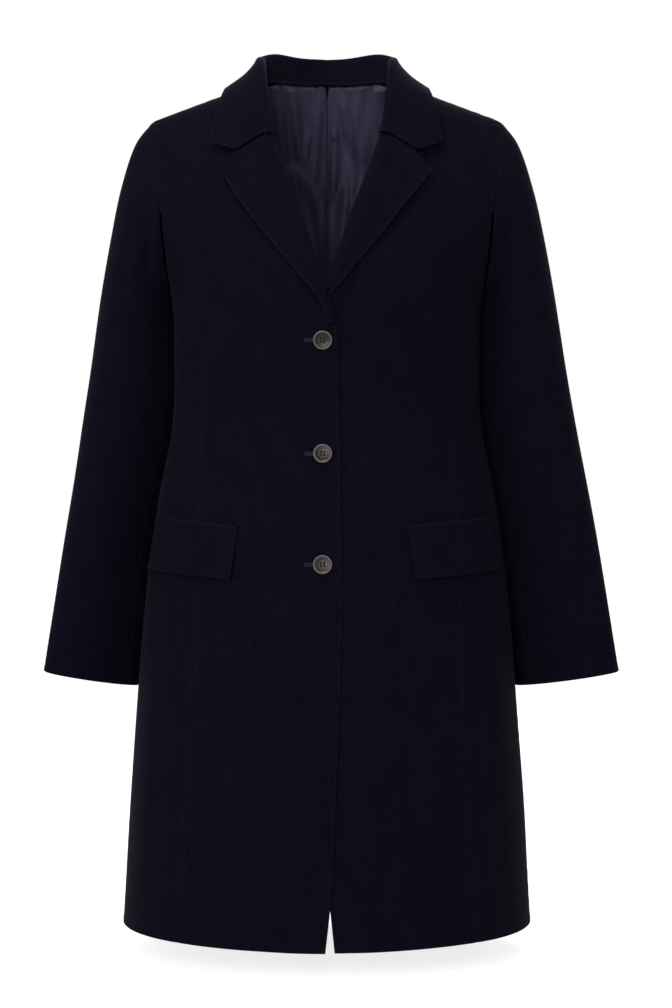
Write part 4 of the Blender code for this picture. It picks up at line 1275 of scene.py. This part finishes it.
def new_thread(name, deep, pale):
    """Sewing thread, uneven in tone and surface from one fibre to the next."""
    made, shader, add, blend, join = new_finish(name, {"Roughness": 0.6, "Specular IOR Level": 0.15})
    place = add("ShaderNodeTexCoord")
    fibres = add("ShaderNodeTexNoise", {"Scale": FIBRES_PER_METRE})
    tone = blend(pale, deep)
    bump = add("ShaderNodeBump", {"Distance": 0.0001})
    join(
        (place.outputs["Object"], fibres.inputs["Vector"]),
        (fibres.outputs["Fac"], tone.inputs["Factor"]),
        (tone.outputs[MIXED], shader.inputs["Base Color"]),
        (fibres.outputs["Fac"], bump.inputs["Height"]),
        (bump.outputs["Normal"], shader.inputs["Normal"]),
    )
    return made


def on_cloth(piece, x, z):
    """Where a line straight back from the front meets a piece, and which way the cloth faces there."""
    tree = BVHTree.FromObject(piece, bpy.context.evaluated_depsgraph_get())
    spots = [tree.ray_cast(Vector((a, -1.0, b)), Vector((0.0, 1.0, 0.0)))[:2] for a, b in zip(x, z)]
    return [Vector(place) for place, _ in spots], [Vector(out) for _, out in spots]


def thread_work(name, stitches, thick, finish):
    """Makes one piece of thread work from its stitches, each a long bead of thread."""
    bm = bmesh.new()
    for stitch in stitches:
        along = stitch.end - stitch.start
        ahead = along.normalized()
        beside = stitch.out.cross(along).normalized()
        turned = Matrix((ahead, beside, ahead.cross(beside))).transposed().to_4x4()
        sized = Matrix.Diagonal((0.5 * along.length, 0.5 * thick, 0.5 * thick, 1.0))
        middle = Matrix.Translation((stitch.start + stitch.end) / 2)
        bmesh.ops.create_uvsphere(
            bm, u_segments=STITCH_AROUND, v_segments=STITCH_ALONG, radius=1.0,
            matrix=middle @ turned @ sized,
        )
    mesh = bpy.data.meshes.new(name)
    bm.to_mesh(mesh)
    bm.free()
    put_on_coat(name, mesh, finish)


navy_thread = new_thread("navy_thread", THREAD_DEEP, THREAD_PALE)
for side in ("right", "left"):
    across = FLAP_TOP[1][0] - FLAP_TOP[0][0]
    count = int((across - 2.0 * STITCH_IN) / STITCH_PITCH)
    begin = (np.arange(count) + 0.5) * STITCH_PITCH + STITCH_IN
    ends = []
    for far in (begin, begin + STITCH_LENGTH):
        x = FLAP_TOP[0][0] + FLAP_SHIFT[side] + far
        z = mix(FLAP_TOP[0][1], FLAP_TOP[1][1], far / across) - STITCH_IN
        ends.append(on_cloth(pieces["flap_" + side], x if side == "left" else -x, z))
    (starts, outs), (stops, _) = ends
    stitches = [Stitch(start, stop, out) for start, stop, out in zip(starts, stops, outs)]
    thread_work("flap_stitching_" + side, stitches, STITCH_THICK, navy_thread)

# The buttons: turned horn-like discs with a raised rim, a shallow step inside it and four holes,
# sewn on with dark thread in two bars and standing through the right front's buttonholes. The rim
# is painted paler, as a painted highlight.
BUTTON_X = -0.004
Button = namedtuple("Button", "level stand")
BUTTONS = (
    Button(-0.2950, 0.0004),
    Button(-0.4145, 0.0009),
    Button(-0.5305, 0.0003),
)
Turning = namedtuple("Turning", "radius height")
BUTTON_PROFILE = (
    Turning(0.0, 0.00255),
    Turning(0.0046, 0.00255),
    Turning(0.0051, 0.00262),
    Turning(0.0055, 0.00276),
    Turning(0.0072, 0.00276),
    Turning(0.0077, 0.00290),
    Turning(0.0082, 0.00332),
    Turning(0.0086, 0.00354),
    Turning(0.0091, 0.00360),
    Turning(0.0095, 0.00350),
    Turning(0.0098, 0.00325),
    Turning(0.0100, 0.00275),
    Turning(0.0099, 0.00200),
    Turning(0.0095, 0.00125),
    Turning(0.0085, 0.00050),
    Turning(0.0072, 0.00010),
    Turning(0.0060, 0.0),
    Turning(0.0, 0.0),
)
BUTTON_SIDES = 72
BUTTON_HOLE_RADIUS = 0.0011
BUTTON_HOLE_SPREAD = 0.0023
BUTTON_HOLE_SIDES = 20
HOLE_ANGLES = (45, 135, 225, 315)
BAR_THICK = 0.00055
BAR_RISE = 0.0002
HORN_DEEP = (0.0036, 0.0021, 0.0019, 1.0)
HORN_PALE = (0.0150, 0.0092, 0.0084, 1.0)
# The rim's paler colour, a painted highlight.
HORN_RIM_PAINTED_HIGHLIGHT = (0.0420, 0.0350, 0.0350, 1.0)
RIM_FROM = 0.0078
RIM_FADE = 0.0007
DRILL_LENGTH = 0.02
SEAT_STEP = 0.002
SHARP_TURNING = math.radians(40)
STRAND_APART = 0.00035
STRANDS = (-1, 0, 1)
BARS_BETWEEN = ((0, 3), (1, 2))
HORN_DRAWN_OUT = (0.5, 1.0, 1.6)
STREAKS_PER_METRE = 260.0
BAR_DEEP = (0.0022, 0.0015, 0.0014, 1.0)
BAR_PALE = (0.0070, 0.0050, 0.0046, 1.0)

horn, shader, add, blend, join = new_finish("button_horn", {"Roughness": 0.32, "Specular IOR Level": 0.11})
place = add("ShaderNodeTexCoord")
drawn_out = add("ShaderNodeMapping", {"Scale": HORN_DRAWN_OUT})
streaks = add("ShaderNodeTexNoise", {"Scale": STREAKS_PER_METRE, "Detail": 5.0, "Distortion": 1.2})
ramp = add("ShaderNodeMapRange", {"From Min": 0.35, "From Max": 0.70})
tone = blend(HORN_PALE, HORN_DEEP)
rim_highlight_mark = add("ShaderNodeAttribute", attribute_name="rim")
rim_painted_highlight = blend(HORN_RIM_PAINTED_HIGHLIGHT)
bump = add("ShaderNodeBump", {"Strength": 0.15, "Distance": 0.0002})
join(
    (place.outputs["Object"], drawn_out.inputs["Vector"]),
    (drawn_out.outputs["Vector"], streaks.inputs["Vector"]),
    (streaks.outputs["Fac"], ramp.inputs["Value"]),
    (ramp.outputs["Result"], tone.inputs["Factor"]),
    (rim_highlight_mark.outputs["Fac"], rim_painted_highlight.inputs["Factor"]),
    (tone.outputs[MIXED], rim_painted_highlight.inputs[MIX_UNDER]),
    (rim_painted_highlight.outputs[MIXED], shader.inputs["Base Color"]),
    (streaks.outputs["Fac"], bump.inputs["Height"]),
    (bump.outputs["Normal"], shader.inputs["Normal"]),
)
bar_thread = new_thread("button_thread", BAR_DEEP, BAR_PALE)


def seat(level, stand):
    """The button's place on the right front, square to the cloth."""
    here, beside, above = (
        Vector(front_point(np.array(x), np.array(z), "right"))
        for x, z in ((-BUTTON_X, level), (-BUTTON_X + SEAT_STEP, level), (-BUTTON_X, level + SEAT_STEP))
    )
    out = (above - here).cross(beside - here).normalized()
    out = out if out.y < 0.0 else -out
    here.x, out.x = -here.x, -out.x
    right = Vector((0.0, 0.0, 1.0)).cross(out).normalized()
    turned = Matrix((right, out.cross(right), out)).transposed().to_4x4()
    return Matrix.Translation(here + out * stand) @ turned


def turned_disc(name):
    bm = bmesh.new()
    verts = [bm.verts.new((row.radius, 0.0, row.height)) for row in BUTTON_PROFILE]
    edges = [bm.edges.new(pair) for pair in zip(verts, verts[1:])]
    bmesh.ops.spin(
        bm, geom=verts + edges, cent=(0.0, 0.0, 0.0), axis=(0.0, 0.0, 1.0), angle=2.0 * math.pi,
        steps=BUTTON_SIDES, use_merge=True, use_duplicate=False,
    )
    bmesh.ops.remove_doubles(bm, verts=list(bm.verts), dist=1e-6)
    bmesh.ops.recalc_face_normals(bm, faces=list(bm.faces))
    mesh = bpy.data.meshes.new(name)
    bm.to_mesh(mesh)
    bm.free()
    return bpy.data.objects.new(name, mesh)


def pierced(disc, spots):
    """The disc's mesh with a round hole through it at each spot."""
    bm = bmesh.new()
    for spot in spots:
        bmesh.ops.create_cone(
            bm, cap_ends=True, segments=BUTTON_HOLE_SIDES, depth=DRILL_LENGTH,
            radius1=BUTTON_HOLE_RADIUS, radius2=BUTTON_HOLE_RADIUS, matrix=Matrix.Translation(spot),
        )
    drill_mesh = bpy.data.meshes.new("drill")
    bm.to_mesh(drill_mesh)
    bm.free()
    drill = bpy.data.objects.new("drill", drill_mesh)
    bpy.context.scene.collection.objects.link(drill)
    bpy.context.scene.collection.objects.link(disc)
    holes = disc.modifiers.new("holes", "BOOLEAN")
    holes.operation = "DIFFERENCE"
    holes.object = drill
    made = bpy.data.meshes.new_from_object(disc.evaluated_get(bpy.context.evaluated_depsgraph_get()))
    bpy.data.objects.remove(drill, do_unlink=True)
    bpy.data.objects.remove(disc, do_unlink=True)
    return made


holes_at = [
    BUTTON_HOLE_SPREAD * Vector((math.cos(turn), math.sin(turn), 0.0))
    for turn in map(math.radians, HOLE_ANGLES)
]
for k, row in enumerate(BUTTONS):
    mesh = pierced(turned_disc("blank"), holes_at)
    mesh.name = "button_disc_%d" % (k + 1)
    spots = np.empty(3 * len(mesh.vertices))
    mesh.vertices.foreach_get("co", spots)
    # Where the rim's painted highlight lies.
    rim_highlight_share = ease((np.hypot(spots[0::3], spots[1::3]) - RIM_FROM) / RIM_FADE)
    mesh.attributes.new("rim", "FLOAT", "POINT").data.foreach_set("value", rim_highlight_share)
    place = seat(row.level, row.stand)
    mesh.transform(place)
    button = put_on_coat("button_disc_%d" % (k + 1), mesh, horn, SHARP_TURNING)
    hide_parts("button_%d" % (k + 1))
    bars = []
    top = Vector((0.0, 0.0, BUTTON_PROFILE[0].height + BAR_RISE))
    for upper, lower in BARS_BETWEEN:
        for strand in STRANDS:
            over = place @ Matrix.Translation(top + Vector((strand * STRAND_APART, 0.0, 0.0)))
            bars.append(Stitch(over @ holes_at[upper], over @ holes_at[lower], place.to_3x3().col[2]))
    thread_work("button_thread_%d" % (k + 1), bars, BAR_THICK, bar_thread)

# The buttonholes: a slit across the right front at each button, its edges bound with close stitches
# in reddish-brown thread and closed at the outer end by a bar. The slit is not cut: a thin dark bead
# lies in it as painted shade.
HOLE_FROM = -0.0222
HOLE_TO = -0.0030
HOLE_STEP = 0.00062
HOLE_LIP = 0.0004
HOLE_DEEP = 0.0021
HOLE_THICK = 0.00058
HOLE_THREAD_DEEP = (0.0034, 0.0024, 0.0030, 1.0)
HOLE_THREAD_PALE = (0.0105, 0.0074, 0.0080, 1.0)
# The colours of the slit's painted shade.
SLIT_PAINTED_SHADE_DEEP = (0.0004, 0.0004, 0.0006, 1.0)
SLIT_PAINTED_SHADE_PALE = (0.0009, 0.0009, 0.0012, 1.0)
hole_thread = new_thread("buttonhole_thread", HOLE_THREAD_DEEP, HOLE_THREAD_PALE)
slit_painted_shade = new_thread("buttonhole_slit_painted_shade", SLIT_PAINTED_SHADE_DEEP, SLIT_PAINTED_SHADE_PALE)
for k, row in enumerate(BUTTONS):
    middle = seat(row.level, row.stand).translation.z
    x = np.arange(HOLE_FROM, HOLE_TO, HOLE_STEP)
    stitches = []
    for sign in (-1.0, 1.0):
        near, outs = on_cloth(pieces["front_right"], x, np.full(x.shape, middle + sign * HOLE_LIP))
        far, _ = on_cloth(pieces["front_right"], x, np.full(x.shape, middle + sign * HOLE_DEEP))
        stitches += [Stitch(a, b, out) for a, b, out in zip(near, far, outs)]
    ends, outs = on_cloth(
        pieces["front_right"], np.full(2, HOLE_FROM - HOLE_THICK),
        middle + np.array((-HOLE_DEEP, HOLE_DEEP)),
    )
    stitches.append(Stitch(ends[0], ends[1], outs[0]))
    thread_work("buttonhole_stitching_%d" % (k + 1), stitches, HOLE_THICK, hole_thread)
    # A thin dark bead of painted shade along the slit.
    ends, outs = on_cloth(pieces["front_right"], np.array((HOLE_FROM, HOLE_TO)), np.full(2, middle))
    slit = [Stitch(ends[0], ends[1], outs[0])]
    thread_work("buttonhole_slit_%d" % (k + 1), slit, 2.0 * HOLE_LIP, slit_painted_shade)
